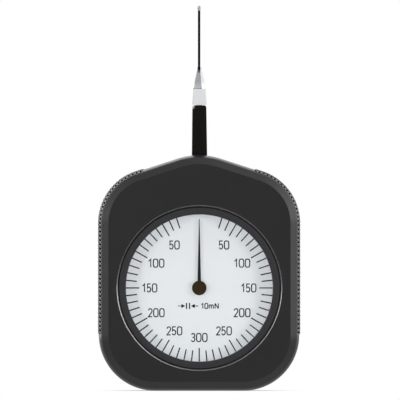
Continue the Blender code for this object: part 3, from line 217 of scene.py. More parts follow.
class Graph:
    """The nodes of a material or a world."""

    def __init__(self, tree: bpy.types.NodeTree) -> None:
        """Start with an empty tree."""
        self.tree = tree
        tree.nodes.clear()

    def node(
        self,
        kind: str,
        settings: Optional[Mapping[str, object]] = None,
        inputs: Optional[Mapping[object, Input]] = None,
    ) -> Node:
        """Add a node.

        Args:
            kind: The node's type.
            settings: Properties of the node, set before its sockets.
            inputs: A value or a link for each named or numbered socket.

        Returns:
            The new node.
        """
        node = self.tree.nodes.new(kind)
        for name, value in (settings or {}).items():
            setattr(node, name, value)
        self.feed_all(node, inputs or {})
        return node

    def feed(self, socket: Socket, value: Input) -> None:
        """Link a socket, or set its value."""
        if isinstance(value, Signal):
            value = value.socket
        if isinstance(value, Socket):
            self.tree.links.new(value, socket)
        else:
            socket.default_value = value

    def feed_all(self, node: Node, inputs: Mapping[object, Input]) -> None:
        """Feed several named or numbered sockets of a node."""
        for key, value in inputs.items():
            self.feed(node.inputs[key], value)

    def object_place(self) -> Socket:
        """The point's place on the piece, in the row frame at rest."""
        return self.node("ShaderNodeTexCoord").outputs["Object"]

    def parts(self, place: Socket) -> list[Signal]:
        """The x, y and z of a place or a direction."""
        node = self.node("ShaderNodeSeparateXYZ", {}, {0: place})
        return [Signal(self, output) for output in node.outputs]

    def stretched(self, place: Socket, scales: Point3) -> Socket:
        """Scale a place by a factor along each axis."""
        node = self.node("ShaderNodeVectorMath", {"operation": "MULTIPLY"}, {0: place, 1: scales})
        return node.outputs["Vector"]

    def noise(self, place: Socket, size: float, detail: float = 2.0) -> Signal:
        """Cloudy noise from 0 to 1.

        Args:
            place: Where the noise is read.
            size: Length of its largest features.
            detail: How many finer layers it has.

        Returns:
            The noise's value.
        """
        inputs = {"Vector": place, "Scale": 1 / size, "Detail": detail, "Roughness": 0.55}
        return Signal(self, self.node("ShaderNodeTexNoise", {}, inputs).outputs[0])

    def distance_from(self, place: Socket, centre: Point2) -> Signal:
        """Distance of a place from an axis along Y through centre (x, z)."""
        x, z = centre
        flat = self.stretched(place, (1.0, 0.0, 1.0))
        node = self.node("ShaderNodeVectorMath", {"operation": "DISTANCE"}, {0: flat, 1: (x, 0.0, z)})
        return Signal(self, node.outputs["Value"])

    def blend(self, factor: Value, first: Colour, second: Colour, how: Blend = Blend.MIX) -> Socket:
        """Lay one colour over another.

        Args:
            factor: How far the second covers the first.
            first: A screen colour, or a socket with a colour.
            second: The colour that is laid over it, given in the same way.
            how: The way they combine.

        Returns:
            The socket with the blended colour.
        """
        below, above = (
            colour if isinstance(colour, Socket) else linear(colour) for colour in (first, second)
        )
        settings = {"data_type": "RGBA", "blend_type": how.value}
        return self.node("ShaderNodeMix", settings, {0: factor, 6: below, 7: above}).outputs[2]

    def blend_shaders(self, factor: Value, first: Node, second: Node) -> Socket:
        """Blend two shaders by a factor."""
        inputs = {0: factor, 1: first.outputs[0], 2: second.outputs[0]}
        return self.node("ShaderNodeMixShader", {}, inputs).outputs[0]

    def bump(self, height: Signal, depth: float) -> Socket:
        """Normal of a surface whose height runs from 0 to depth."""
        inputs = {"Height": height, "Distance": depth, "Strength": 1.0}
        return self.node("ShaderNodeBump", {}, inputs).outputs[0]


@dataclass(frozen=True)
class Finish(ABC):
    """How a surface looks: its colour on a screen, its gloss and its fine relief."""

    name: str
    colour: Rgb
    roughness: float = 0.5
    metallic: float = 0.0
    specular: float = 0.5

    def material(self) -> bpy.types.Material:
        """The material of this finish, made when it is first asked for."""
        known = bpy.data.materials.get(self.name)
        if known is not None:
            return known
        material = bpy.data.materials.new(self.name)
        material.use_nodes = True
        graph = Graph(material.node_tree)
        inputs = {
            "Base Color": linear(self.colour),
            "Roughness": self.roughness,
            "Metallic": self.metallic,
            "Specular IOR Level": self.specular,
        }
        shader = graph.node("ShaderNodeBsdfPrincipled", {}, inputs)
        surface = self.detail(graph, shader)
        graph.node("ShaderNodeOutputMaterial", {}, {"Surface": surface})
        return material

    def mottled(self, graph: Graph, factor: Signal, tone: float) -> Socket:
        """The finish's colour, which a factor from 0 to 1 takes from tone darker to tone lighter."""
        dark, light = (
            tuple(min(255.0, max(0.0, channel + step)) for channel in self.colour) for step in (-tone, tone)
        )
        return graph.blend(factor, dark, light)

    @abstractmethod
    def detail(self, graph: Graph, shader: Node) -> Socket:
        """Give the shader what varies over the surface.

        Args:
            graph: The material's nodes.
            shader: Its Principled shader.

        Returns:
            The socket that the material's surface takes.
        """


@dataclass(frozen=True)
class MouldedPlastic(Finish):
    """A moulding with an eggshell grain and slightly uneven tone."""

    grain_size: float = 0.00028
    grain_depth: float = 0.000010
    grain_gloss: float = 0.08
    cloud_size: float = 0.014
    tone: float = 2.5
    cut_colour: Rgb = (228, 228, 224)
    cut_centre: Point2 = (0.0, 0.0)
    cut_radii: Point2 = (0.0, 0.0)
    cut_back: float = 0.0

    def cut_edge(self, graph: Graph, place: Socket) -> Signal:
        """1 on the edge that was turned bright when the window was cut."""
        away = graph.distance_from(place, self.cut_centre)
        _, depth, _ = graph.parts(place)
        inside, outside, behind = (
            signal.ramp(limit, limit + WELD_DISTANCE)
            for signal, limit in zip((away, away, depth), (*self.cut_radii, self.cut_back))
        )
        return inside * (1 - outside) * (1 - behind)

    def detail(self, graph: Graph, shader: Node) -> Socket:
        """Grain, tone, and the bright turned edge where the window was cut."""
        place = graph.object_place()
        grain = graph.noise(place, self.grain_size, 3.0)
        cloud = graph.noise(place, self.cloud_size)
        bare_metal_and_painted_highlight = self.cut_edge(graph, place)
        plastic = self.mottled(graph, cloud, self.tone)
        graph.feed_all(shader, {
            "Base Color": graph.blend(bare_metal_and_painted_highlight, plastic, self.cut_colour),
            "Metallic": bare_metal_and_painted_highlight,
            "Roughness": self.roughness + self.grain_gloss * (grain - 0.5),
            "Normal": graph.bump(grain, self.grain_depth),
        })
        return shader.outputs[0]


@dataclass(frozen=True)
class GroundMetal(Finish):
    """Metal with fine straight grinding lines."""

    line_size: float = 0.00006
    line_depth: float = 0.000003
    line_gloss: float = 0.12
    scratch_ratio: float = 9.0
    scratch_gloss: float = 0.08
    run: Point3 = (1.0, 1.0, 0.03)
    tone: float = 5.0

    def detail(self, graph: Graph, shader: Node) -> Socket:
        """Lines that run along one axis, with a few deeper scratches."""
        place = graph.stretched(graph.object_place(), self.run)
        lines = graph.noise(place, self.line_size, 3.0)
        scratches = graph.noise(place, self.line_size * self.scratch_ratio, 1.0).ramp(0.60, 0.75)
        gloss = self.roughness + self.line_gloss * (lines - 0.5)
        graph.feed_all(shader, {
            "Base Color": self.mottled(graph, lines, self.tone),
            "Roughness": gloss + self.scratch_gloss * scratches,
            "Normal": graph.bump(lines - 0.5 * scratches, self.line_depth),
        })
        return shader.outputs[0]


@dataclass(frozen=True)
class SatinBlock(Finish):
    """A satin plated block whose upper part was ground back to plain steel, with painted light that makes
    the ground part lighter towards its foot and painted shade in its scribed groove.
    """

    ground_colour: Rgb = (212, 212, 216)
    # Painted light: the ground part is painted lighter towards its foot, fading into ground_colour upwards.
    painted_light_low_colour: Rgb = (246, 246, 250)
    painted_light_fade: float = 0.0024
    ground_metallic: float = 0.55
    ground_above: float = 0.0
    ground_gloss: float = 0.14
    scratch_dark: Rgb = (214, 214, 216)
    scratch_light: Rgb = (255, 255, 255)
    scratch_slant: float = math.radians(28.0)
    scratch_run: Point3 = (1.0, 1.0, 0.06)
    scratch_relief: float = 1.4
    # Painted shade: a darker grey in the scribed groove, where shade falls.
    scribed_groove_and_shade: Rgb = (152, 152, 156)
    groove_shade_width: float = 0.00020
    groove_shade_end: float = 0.0007
    line_size: float = 0.00010
    line_depth: float = 0.000004

    def groove_shade_line(self, across: Signal, height: Signal) -> Signal:
        """1 on the scribed groove where the ground part ends, which painted shade darkens."""
        half = self.groove_shade_width / 2
        line = height.between(self.ground_above - half, self.ground_above + half, self.line_size / 2)
        return line * (1 - across.ramp(self.groove_shade_end - self.line_size, self.groove_shade_end))

    def scratches(self, graph: Graph, place: Socket) -> Signal:
        """Slanting grinding scratches."""
        inputs = {"Vector": place, "Angle": self.scratch_slant}
        slanted = graph.node("ShaderNodeVectorRotate", {"rotation_type": "Y_AXIS"}, inputs).outputs[0]
        return graph.noise(graph.stretched(slanted, self.scratch_run), self.line_size, 3.0)

    def detail(self, graph: Graph, shader: Node) -> Socket:
        """Slanting grinding scratches on the upper part and a satin grain on the lower, with painted light
        on the ground part and painted shade in the scribed groove.
        """
        place = graph.object_place()
        across, _, height = graph.parts(place)
        ground = height.ramp(self.ground_above - self.line_size, self.ground_above + self.line_size)
        rise = height.ramp(self.ground_above, self.ground_above + self.painted_light_fade)
        line = self.groove_shade_line(across, height)
        lines = self.scratches(graph, place)
        satin = graph.noise(place, self.line_size * 2, 3.0)
        # Painted light: the steel colour runs from the light foot colour up to the ground colour.
        steel = graph.blend(rise, self.painted_light_low_colour, self.ground_colour)
        mixed = graph.blend(ground, self.colour, steel)
        light = graph.blend(lines, self.scratch_dark, self.scratch_light)
        mixed = graph.blend(ground, mixed, light, Blend.MULTIPLY)
        metallic = self.metallic + (self.ground_metallic - self.metallic) * ground
        relief = satin + ground * (self.scratch_relief * lines - satin)
        graph.feed_all(shader, {
            # Painted shade: the scribed groove is painted darker and not metallic.
            "Base Color": graph.blend(line, mixed, self.scribed_groove_and_shade),
            "Metallic": metallic * (1 - line),
            "Roughness": self.roughness + self.ground_gloss * ground * (lines - 0.5),
            "Normal": graph.bump(relief, self.line_depth),
        })
        return shader.outputs[0]


@dataclass(frozen=True)
class TurnedMetal(Finish):
    """Metal or lacquered metal with the fine rings of a lathe tool."""

    centre: Point2 = (0.0, 0.0)
    ring_pitch: float = 0.00012
    ring_depth: float = 0.0000015
    ring_gloss: float = 0.06
    wobble_ratio: float = 12.0
    wobble: float = 5.0
    tone: float = 3.0

    def detail(self, graph: Graph, shader: Node) -> Socket:
        """Rings about the axis, and a faint uneven tone."""
        place = graph.object_place()
        wobble = graph.noise(place, self.ring_pitch * self.wobble_ratio)
        turns = graph.distance_from(place, self.centre) * (2 * math.pi / self.ring_pitch)
        rings = 0.5 + 0.5 * (turns + self.wobble * wobble).sine()
        graph.feed_all(shader, {
            "Base Color": self.mottled(graph, wobble, self.tone),
            "Roughness": self.roughness + self.ring_gloss * (rings - 0.5),
            "Normal": graph.bump(rings, self.ring_depth),
        })
        return shader.outputs[0]


@dataclass(frozen=True)
class Lacquer(Finish):
    """A sprayed coat: nearly even, with a very fine orange peel."""

    peel_size: float = 0.0004
    peel_depth: float = 0.000003
    peel_gloss: float = 0.08
    mottle_ratio: float = 25.0
    tone: float = 1.2

    def detail(self, graph: Graph, shader: Node) -> Socket:
        """Peel in the surface and a trace of mottling in the colour."""
        place = graph.object_place()
        peel = graph.noise(place, self.peel_size, 3.0)
        mottle = graph.noise(place, self.peel_size * self.mottle_ratio)
        graph.feed_all(shader, {
            "Base Color": self.mottled(graph, mottle, self.tone),
            "Roughness": self.roughness + self.peel_gloss * (peel - 0.5),
            "Normal": graph.bump(peel, self.peel_depth),
        })
        return shader.outputs[0]


@dataclass(frozen=True)
class LacquerWithPaintedHighlight(Lacquer):
    """A black coat with a painted highlight at one corner."""

    painted_highlight_colour: Rgb = (150, 143, 134)
    painted_highlight_centre: Point2 = (0.0, 0.0)
    painted_highlight_reach: float = 0.0008
    painted_highlight_share: float = 0.55
    ragged: float = 0.35

    def detail(self, graph: Graph, shader: Node) -> Socket:
        """The coat, with a painted highlight near the corner."""
        surface = super().detail(graph, shader)
        coat = shader.inputs["Base Color"].links[0].from_socket
        place = graph.object_place()
        ragged = self.ragged * (graph.noise(place, self.peel_size) - 0.5)
        near = graph.distance_from(place, self.painted_highlight_centre) * (1 / self.painted_highlight_reach)
        # Painted highlight: a light patch with a ragged edge near the corner.
        bare_metal_and_painted_highlight = 1 - (near + ragged).ramp(self.painted_highlight_share, 1.0)
        graph.feed(shader.inputs["Base Color"], graph.blend(bare_metal_and_painted_highlight, coat, self.painted_highlight_colour))
        return surface


@dataclass(frozen=True)
class ClearGlass(Finish):
    """Clear polished glass that lets the lamps' light through to what lies behind it."""

    ior: float = 1.46
    clarity: float = 0.985
    smear_size: float = 0.006
    smear_gloss: float = 0.02

    def detail(self, graph: Graph, shader: Node) -> Socket:
        """A trace of smears in the polish."""
        smear = graph.noise(graph.object_place(), self.smear_size, 4.0).ramp(0.45, 0.8)
        graph.feed_all(shader, {
            "Transmission Weight": 1.0,
            "IOR": self.ior,
            "Roughness": self.roughness + self.smear_gloss * smear,
        })
        passed = (self.clarity, self.clarity, self.clarity, 1.0)
        clear = graph.node("ShaderNodeBsdfTransparent", {}, {"Color": passed})
        shadow = graph.node("ShaderNodeLightPath").outputs["Is Shadow Ray"]
        return graph.blend_shaders(shadow, shader, clear)


def ring_of_vertices(bm: Mesh, points: Iterable[Point3]) -> Vertices:
    """New vertices at the given points."""
    return [bm.verts.new(point) for point in points]


def band_of_faces(bm: Mesh, first: Vertices, second: Vertices) -> None:
    """Join two closed rings of as many vertices with quads."""
    count = len(first)
    for here in range(count):
        after = (here + 1) % count
        bm.faces.new((first[here], first[after], second[after], second[here]))


def bands_of_faces(bm: Mesh, rings: Sequence[Vertices], capped: bool = False) -> None:
    """Join each ring with the next one, and close both ends if capped."""
    for first, second in zip(rings, rings[1:]):
        band_of_faces(bm, first, second)
    if capped:
        bm.faces.new(rings[0])
        bm.faces.new(rings[-1])


def rod_profile(radius: float, low: float, high: float) -> list[Point2]:
    """Profile of a plain rod between two places on its axis."""
    return [(0.0, high), (radius, high), (radius, low), (0.0, low)]


def rounding(radius: float, steps: int) -> list[Point2]:
    """How far a quarter-round edge lies in from the side and down from the face, from side to face."""
    angles = [math.pi / 2 * step / steps for step in range(steps + 1)]
    return [(radius * (1 - math.cos(angle)), radius * (1 - math.sin(angle))) for angle in angles]


def mesh_piece(name: str, bm: Mesh, sharp: float = SHARP_ANGLE) -> Piece:
    """Make an object of a finished bmesh, smooth but for its sharp edges.

    Args:
        name: The piece's name.
        bm: The mesh, which is freed.
        sharp: Angle past which an edge stays crisp.

    Returns:
        The object, linked to the scene.
    """
    bmesh.ops.recalc_face_normals(bm, faces=bm.faces)
    mesh = bpy.data.meshes.new(name)
    bm.to_mesh(mesh)
    bm.free()
    mesh.shade_smooth()
    mesh.set_sharp_from_angle(angle=sharp)
    piece = bpy.data.objects.new(name, mesh)
    bpy.context.scene.collection.objects.link(piece)
    return piece


def turned_mesh(
    profile: Sequence[Point2], centre: Point2, steps: int, closed: bool = False, axis: Axis = Axis.Y
) -> Mesh:
    """Turn a profile about an axis.

    Args:
        profile: Points as (radius, place along the axis). A radius of 0 closes an end.
        centre: The axis as (x, z) for one along Y, or (x, y) for one along Z.
        steps: How many facets a full turn has.
        closed: Whether the profile runs back to its first point.
        axis: Which way the axis points.

    Returns:
        The turned mesh.
    """
    bm = bmesh.new()
    rings = []
    for radius, along in profile:
        angles = [2 * math.pi * step / steps for step in range(steps)] if radius > 0 else [0.0]
        points = []
        for angle in angles:
            across, up = centre[0] + radius * math.cos(angle), centre[1] + radius * math.sin(angle)
            points.append((across, along, up) if axis is Axis.Y else (across, up, along))
        rings.append(ring_of_vertices(bm, points))
    pairs = list(zip(rings, rings[1:])) + ([(rings[-1], rings[0])] if closed else [])
    for first, second in pairs:
        if len(first) == 1 or len(second) == 1:
            tip, ring = (first[0], second) if len(first) == 1 else (second[0], first)
            for here, vertex in enumerate(ring):
                bm.faces.new((vertex, ring[(here + 1) % steps], tip))
        else:
            band_of_faces(bm, first, second)
    return bm


def slab_mesh(outline: Sequence[Point2], y_front: float, y_back: float, edge: float) -> Mesh:
    """Extrude an outline along Y, with rounded long edges.

    Args:
        outline: Points as (x, z).
        y_front: Where the slab's front lies.
        y_back: Where its back lies.
        edge: Width of the rounding on its long edges.

    Returns:
        The slab's mesh.
    """
    bm = bmesh.new()
    rings = [ring_of_vertices(bm, [(x, y, z) for x, z in outline]) for y in (y_front, y_back)]
    bands_of_faces(bm, rings, capped=True)
    bmesh.ops.recalc_face_normals(bm, faces=bm.faces)
    sharp = [line for line in bm.edges if line.calc_face_angle(0) > BEVEL_ANGLE]
    bmesh.ops.bevel(bm, geom=sharp, offset=edge, segments=2, profile=0.5, affect="EDGES")
    return bm


def box_mesh(low: Point3, high: Point3) -> Mesh:
    """A box between two corners."""
    bm = bmesh.new()
    middle = [(a + b) / 2 for a, b in zip(low, high)]
    sides = [b - a for a, b in zip(low, high)]
    bmesh.ops.create_cube(bm, size=1, matrix=Matrix.Translation(middle) @ Matrix.Diagonal((*sides, 1)))
    return bm


def carve(piece: Piece, how: Boolean, *tools: Mesh) -> None:
    """Use each tool on the piece, one after another, and keep the result as its mesh.

    Args:
        piece: The solid that is changed.
        how: Whether the tools are cut out or joined on.
        tools: The tools' meshes, which are freed.
    """
    helpers = []
    for number, bm in enumerate(tools):
        helper = mesh_piece(f"{piece.name}_tool_{number}", bm)
        modifier = piece.modifiers.new(helper.name, "BOOLEAN")
        modifier.operation = how.value
        modifier.solver = "EXACT"
        modifier.object = helper
        helpers.append(helper)
    bpy.context.view_layer.update()
    graph = bpy.context.evaluated_depsgraph_get()
    mesh = bpy.data.meshes.new_from_object(piece.evaluated_get(graph))
    piece.modifiers.clear()
    piece.data = mesh
    mesh.shade_smooth()
    mesh.set_sharp_from_angle(angle=SHARP_ANGLE)
    for helper in helpers:
        bpy.data.objects.remove(helper, do_unlink=True)


class Workshop:
    """Seats finished pieces on the frame and dresses the nodes that stay."""

    def __init__(self, frame: Mapping[str, object]) -> None:
        """Take the loaded frame."""
        self.nodes: dict[str, Piece] = frame["nodes"]
        self.joints = {joint["name"]: joint for joint in frame["joints"]}

    def seat(
        self,
        piece: Piece,
        body: Body,
        slot: Slot,
        finish: Finish,
        stands_for: Sequence[str] = (),
    ) -> None:
        """Give a new piece its finish and its place in the model.

        Args:
            piece: The finished piece.
            body: What it moves with.
            slot: The record's slot for the piece; it is not used.
            finish: How it looks.
            stands_for: The nodes that it replaces.
        """
        piece.data.materials.clear()
        piece.data.materials.append(finish.material())
        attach(piece, body.value)
        if stands_for:
            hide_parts(*stands_for)
        faces = len(piece.data.polygons)
        LOG.info("%s: %d faces, %s, on %s", piece.name, faces, finish.name, body.value)

    def dress(self, node: str, finish: Finish) -> None:
        """Give a node that stays a better material."""
        for slot in self.nodes[node].material_slots:
            slot.material = finish.material()
        LOG.info("%s: kept, %s", node, finish.name)


class OutlinePoint(NamedTuple):
    """A point of the case's outline, with its place along the grip band if it lies on it.

    The knurl's pattern is shifted by stagger half diamonds along the band.
    """

    x: float
    z: float
    column: Optional[float]
    stagger: float = 0.0


@dataclass(frozen=True)
class GripBand:
    """The diamond knurling on the case's upper corners and sides."""

    pitch: float = 0.00122
    row: float = 0.00118
    run_on: float = 0.00244
    rear_margin: float = 0.0016
    bead: float = 0.00030
    ridge: float = 0.00006
    pit: float = 0.00042
    land_share: float = 0.34
    wall_share: float = 0.22
    first_pits: float = 0.85
    left_stagger: float = 1.0
    samples: int = 4

    def off_lines(self, along: float, row: float) -> Point2:
        """How far a place is from the nearest ridge of each of the two crossing sets."""
        past = row - self.first_pits
        rising, falling = (along + past) / 2, (along - past) / 2
        return abs(rising - round(rising)) * 2, abs(falling - round(falling)) * 2

    def height(self, point: OutlinePoint, row: float, last_column: float, last_row: float) -> float:
        """How far the band's surface stands out of the smooth side.

        Args:
            point: Place along the band.
            row: Place across it, in half diamonds from the bevel.
            last_column: The band's length in half diamonds.
            last_row: Its width in half diamonds.

        Returns:
            The height, which is negative in the pits between the crossed ridges.
        """
        column = point.column
        past = row - self.first_pits
        rising, falling = self.off_lines(column + point.stagger, row)
        off_ridge = min(1.0, max(0.0, min(rising, falling) - self.land_share) / self.wall_share)
        rise = min(1.0, max(0.0, past))
        top = rise * (self.ridge + (self.bead - self.ridge) * abs(math.sin(math.pi * past / 2)))
        surface = top * (1 - off_ridge) - self.pit * off_ridge
        ends = min(column, last_column - column, last_row - row, row / self.first_pits * 2, 1.0)
        return surface * max(0.0, ends)


@dataclass(frozen=True)
class CaseOutline:
    """The case's outline: a flat bottom, straight sides and a top that rises to a rounded peak."""

    half_width: float
    height: float
    grip: GripBand
    slope: float = math.radians(18.0)
    ridge_radius: float = 0.0199
    top_corner: float = 0.01535
    bottom_corner: float = 0.0159
    spacing: float = 0.0011

    def half(self, inset: float) -> list[OutlinePoint]:
        """Right half of the outline, from the middle of the bottom to the peak.

        Args:
            inset: How far the outline is moved in.

        Returns:
            Its points.
        """
        ridge_z = self.height - self.ridge_radius
        corner_x, corner_z = self.corner_centre()
        low_x = self.half_width - self.bottom_corner
        points = []

        def arc(x: float, z: float, radius: float, start: float, end: float) -> None:
            steps = max(2, round(abs(end - start) * radius / self.spacing))
            for step in range(steps):
                angle = start + (end - start) * step / steps
                away = radius - inset
                points.append(OutlinePoint(x + away * math.cos(angle), z + away * math.sin(angle), None))

        steps = round(low_x / self.spacing)
        points += [OutlinePoint(low_x * step / steps, inset, None) for step in range(steps)]
        arc(low_x, self.bottom_corner, self.bottom_corner, -math.pi / 2, 0.0)
        fine = self.grip.samples
        side, corner, run_on = (fine * count for count in self.grip_counts())
        for step in range(side):
            z = self.bottom_corner + (corner_z - self.bottom_corner) * step / side
            points.append(OutlinePoint(self.half_width - inset, z, step / fine))
        for step in range(corner + 1):
            angle = (math.pi / 2 - self.slope) * step / corner
            away = self.top_corner - inset
            x, z = corner_x + away * math.cos(angle), corner_z + away * math.sin(angle)
            points.append(OutlinePoint(x, z, (side + step) / fine))
        start_x, start_z = points[-1][:2]
        end_x = (self.ridge_radius - inset) * math.sin(self.slope)
        for step in range(1, run_on + 1):
            along = self.grip.run_on * step / run_on
            x, z = start_x - along * math.cos(self.slope), start_z + along * math.sin(self.slope)
            points.append(OutlinePoint(x, z, (side + corner + step) / fine))
        start_x, start_z = points[-1][:2]
        steps = round((start_x - end_x) / self.spacing)
        for step in range(1, steps):
            along = (start_x - end_x) * step / steps
            points.append(OutlinePoint(start_x - along, start_z + along * math.tan(self.slope), None))
        arc(0.0, ridge_z, self.ridge_radius, math.pi / 2 - self.slope, math.pi / 2)
        points.append(OutlinePoint(0.0, ridge_z + self.ridge_radius - inset, None))
        return points

    def corner_centre(self) -> Point2:
        """Middle of the upper corner's arc."""
        reach = (self.height - self.ridge_radius) * math.cos(self.slope) + self.ridge_radius
        x = self.half_width - self.top_corner
        return x, (reach - self.top_corner - x * math.sin(self.slope)) / math.cos(self.slope)

    def grip_counts(self) -> list[int]:
        """Half diamonds of the band along the side, round the corner and on the slope."""
        side = self.corner_centre()[1] - self.bottom_corner
        corner = self.top_corner * (math.pi / 2 - self.slope)
        return [2 * max(1, round(length / self.grip.pitch)) for length in (side, corner, self.grip.run_on)]

    def whole(self, inset: float) -> list[OutlinePoint]:
        """The closed outline, counter-clockwise as seen from the front, with the left knurl staggered."""
        right = self.half(inset)
        shift = self.grip.left_stagger
        return right + [point._replace(x=-point.x, stagger=shift) for point in reversed(right[1:-1])]


@dataclass
class CaseBuilder:
    """The case: its knurled front shell, its back cover and the cover's screws."""

    shop: Workshop
    shell_finish: Finish
    cover_finish: Finish
    screw_finish: Finish
    grip: GripBand = field(default_factory=GripBand)
    wall: float = 0.0022
    front_panel: float = 0.0024
    shoulder_radius: float = 0.0045
    shoulder_inset: float = 0.00081
    bevel_width: float = 0.00180
    bevel_depth: float = 0.00145
    bevel_power: float = 2.00
    bevel_steps: int = 14
    window_gap: float = 0.0004
    window_bevel: float = 0.0003
    ledge_width: float = 0.0014
    seat_gap: float = 0.00025
    seam: float = 0.00006
    seat_width: float = 0.0001
    collar_wall: float = 0.0027
    slot_half_width: float = 0.00413
    slot_side_gap: float = 0.0008
    slot_depth: float = 0.0044
    boss_radius: float = 0.0025
    boss_setin: float = 0.0018
    boss_bore: float = 0.0009
    boss_bore_depth: float = 0.00385
    cover_round: float = 0.0012
    cover_steps: int = 8
    lip_width: float = 0.0010
    screw_recess: float = 0.0002
    screw_head: float = 0.0015
    screw_head_depth: float = 0.0010
    screw_clearance: float = 0.00015
    screw_slot: float = 0.0005

    def __post_init__(self) -> None:
        """Read the case's places from the frame."""
        case_low, case_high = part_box("front_case")
        cover_low, cover_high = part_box("back_cover")
        glass_low, glass_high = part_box("crystal")
        dial_low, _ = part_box("dial_plate")
        self.front, self.rim = case_low.y, case_high.y
        self.lip, self.back = cover_low.y, cover_high.y
        self.cover_front = self.rim + self.seam
        self.window_radius = (glass_high.x - glass_low.x) / 2 + self.window_gap
        self.centre = (0.0, (glass_low.z + glass_high.z) / 2)
        self.ledge = glass_high.y + self.seat_gap
        self.dial_seat = dial_low.y - self.seat_gap
        self.collar_back = dial_low.y + self.seat_gap * 2
        self.outline = CaseOutline(cover_high.x, case_high.z, self.grip)

    def side_place(self, row: float) -> Point2:
        """Inset and y of the case's side at a row of the grip band, from the bevel to the rim."""
        turn = self.shoulder_turn()
        front = self.front + self.bevel_depth
        arc_rows = self.arc_rows()
        if row < arc_rows:
            angle = turn * (1 - row / arc_rows)
            inset = self.shoulder_radius * (1 - math.cos(angle))
            return inset, front + self.shoulder_radius * (math.sin(turn) - math.sin(angle))
        start = front + self.shoulder_radius * math.sin(turn)
        end = self.rim - self.grip.rear_margin
        return 0.0, start + (end - start) * (row - arc_rows) / (self.last_row() - arc_rows)

    def shoulder_turn(self) -> float:
        """How far the side turns inwards on its way to the bevel."""
        return math.acos(1 - self.shoulder_inset / self.shoulder_radius)

    def arc_rows(self) -> int:
        """Half diamonds across the rounded shoulder."""
        return max(1, round(self.shoulder_radius * self.shoulder_turn() / self.grip.row))

    def last_row(self) -> int:
        """Half diamonds across the whole band."""
        shoulder = self.shoulder_radius * math.sin(self.shoulder_turn())
        start = self.front + self.bevel_depth + shoulder
        flat = self.rim - self.grip.rear_margin - start
        return self.arc_rows() + max(1, round(flat / self.grip.row))

    def outline_ring(self, inset: float, y: float) -> list[Point3]:
        """Points of the case's outline moved in by inset, at y."""
        return [(point.x, y, point.z) for point in self.outline.whole(inset)]

    def gripped_ring(self, inset: float, y: float, row: float) -> list[Point3]:
        """Points of the case's outline moved in by inset and shaped by the grip band.

        Args:
            inset: How far the smooth surface lies inside the outline.
            y: The ring's place.
            row: Its row of the band.

        Returns:
            The ring's points.
        """
        last_column, last_row = float(sum(self.outline.grip_counts())), self.last_row()
        points = []
        for near, far in zip(self.outline.whole(0.0), self.outline.whole(self.wall)):
            height = 0.0
            if near.column is not None:
                height = self.grip.height(near, row, last_column, last_row)
            share = (inset - height) / self.wall
            points.append((near.x + (far.x - near.x) * share, y, near.z + (far.z - near.z) * share))
        return points

    def round_ring(self, radius: float, y: float) -> list[Point3]:
        """As many points as the outline has, on a circle about the window's middle."""
        points = []
        for point in self.outline.whole(self.wall):
            rise = point.z - self.centre[1]
            away = math.hypot(point.x, rise)
            points.append((radius * point.x / away, y, self.centre[1] + radius * rise / away))
        return points

    def grip_mesh(self, bm: Mesh) -> tuple[Vertices, Vertices]:
        """Add the case's side with its grip band.

        Args:
            bm: The shell's mesh.

        Returns:
            The side's first ring, next to the bevel, and its last.
        """
        outline = self.outline.whole(0.0)
        fine = self.grip.samples
        rings = []
        for step in range(self.last_row() * fine + 1):
            inset, y = self.side_place(step / fine)
            rings.append(ring_of_vertices(bm, self.gripped_ring(inset, y, step / fine)))
        for step, (first, second) in enumerate(zip(rings, rings[1:])):
            self.grip_faces(bm, outline, first, second, (step + 0.5) / fine)
        return rings[0], rings[-1]

    def grip_faces(
        self,
        bm: Mesh,
        outline: Sequence[OutlinePoint],
        first: Vertices,
        second: Vertices,
        row: float,
    ) -> None:
        """Join two rings of the side, with each knurled cell split along its nearer ridge."""
        for here, point in enumerate(outline):
            after = (here + 1) % len(outline)
            corners = [first[here], first[after], second[after], second[here]]
            ends = (point.column, outline[after].column)
            if None in ends or abs(ends[0] - ends[1]) > 1.5 / self.grip.samples:
                bm.faces.new(corners)
                continue
            column = (ends[0] + ends[1]) / 2
            rising, falling = self.grip.off_lines(column + point.stagger, row)
            runs_back = ends[1] < ends[0]
            if (rising < falling) != runs_back:
                corners = corners[1:] + corners[:1]
            bm.faces.new((corners[0], corners[1], corners[2]))
            bm.faces.new((corners[0], corners[2], corners[3]))

    def bevel_rings(self) -> list[list[Point3]]:
        """Rings of the soft bevel round the front."""
        rings = []
        for step in range(1, self.bevel_steps + 1):
            angle = math.pi / 2 * step / self.bevel_steps
            across = 1 - max(math.cos(angle), 0.0) ** self.bevel_power
            down = 1 - math.sin(angle) ** self.bevel_power
            inset = self.shoulder_inset + self.bevel_width * across
            rings.append(self.outline_ring(inset, self.front + self.bevel_depth * down))
        return rings

    def shell_mesh(self) -> Mesh:
        """The front shell as one closed loft: side, bevel, front, window, collar and inside."""
        window, ledge = self.window_radius, self.window_radius - self.window_gap - self.ledge_width
        seat = self.window_radius - self.seat_width + self.seat_gap / 5
        collar = seat + self.collar_wall
        panel = self.front + self.front_panel
        inside = [
            self.round_ring(window + self.window_bevel, self.front),
            self.round_ring(window, self.front + self.window_bevel),
            self.round_ring(window, self.ledge),
            self.round_ring(ledge, self.ledge),
            self.round_ring(ledge, self.dial_seat),
            self.round_ring(seat, self.dial_seat),
            self.round_ring(seat, self.collar_back),
            self.round_ring(collar, self.collar_back),
            self.round_ring(collar, panel),
            self.outline_ring(self.wall, panel),
            self.outline_ring(self.wall, self.rim),
            self.outline_ring(0.0, self.rim),
        ]
        bm = bmesh.new()
        side_front, side_back = self.grip_mesh(bm)
        rings = [side_front]
        rings += [ring_of_vertices(bm, points) for points in self.bevel_rings() + inside]
        bands_of_faces(bm, rings + [side_back])
        return bm

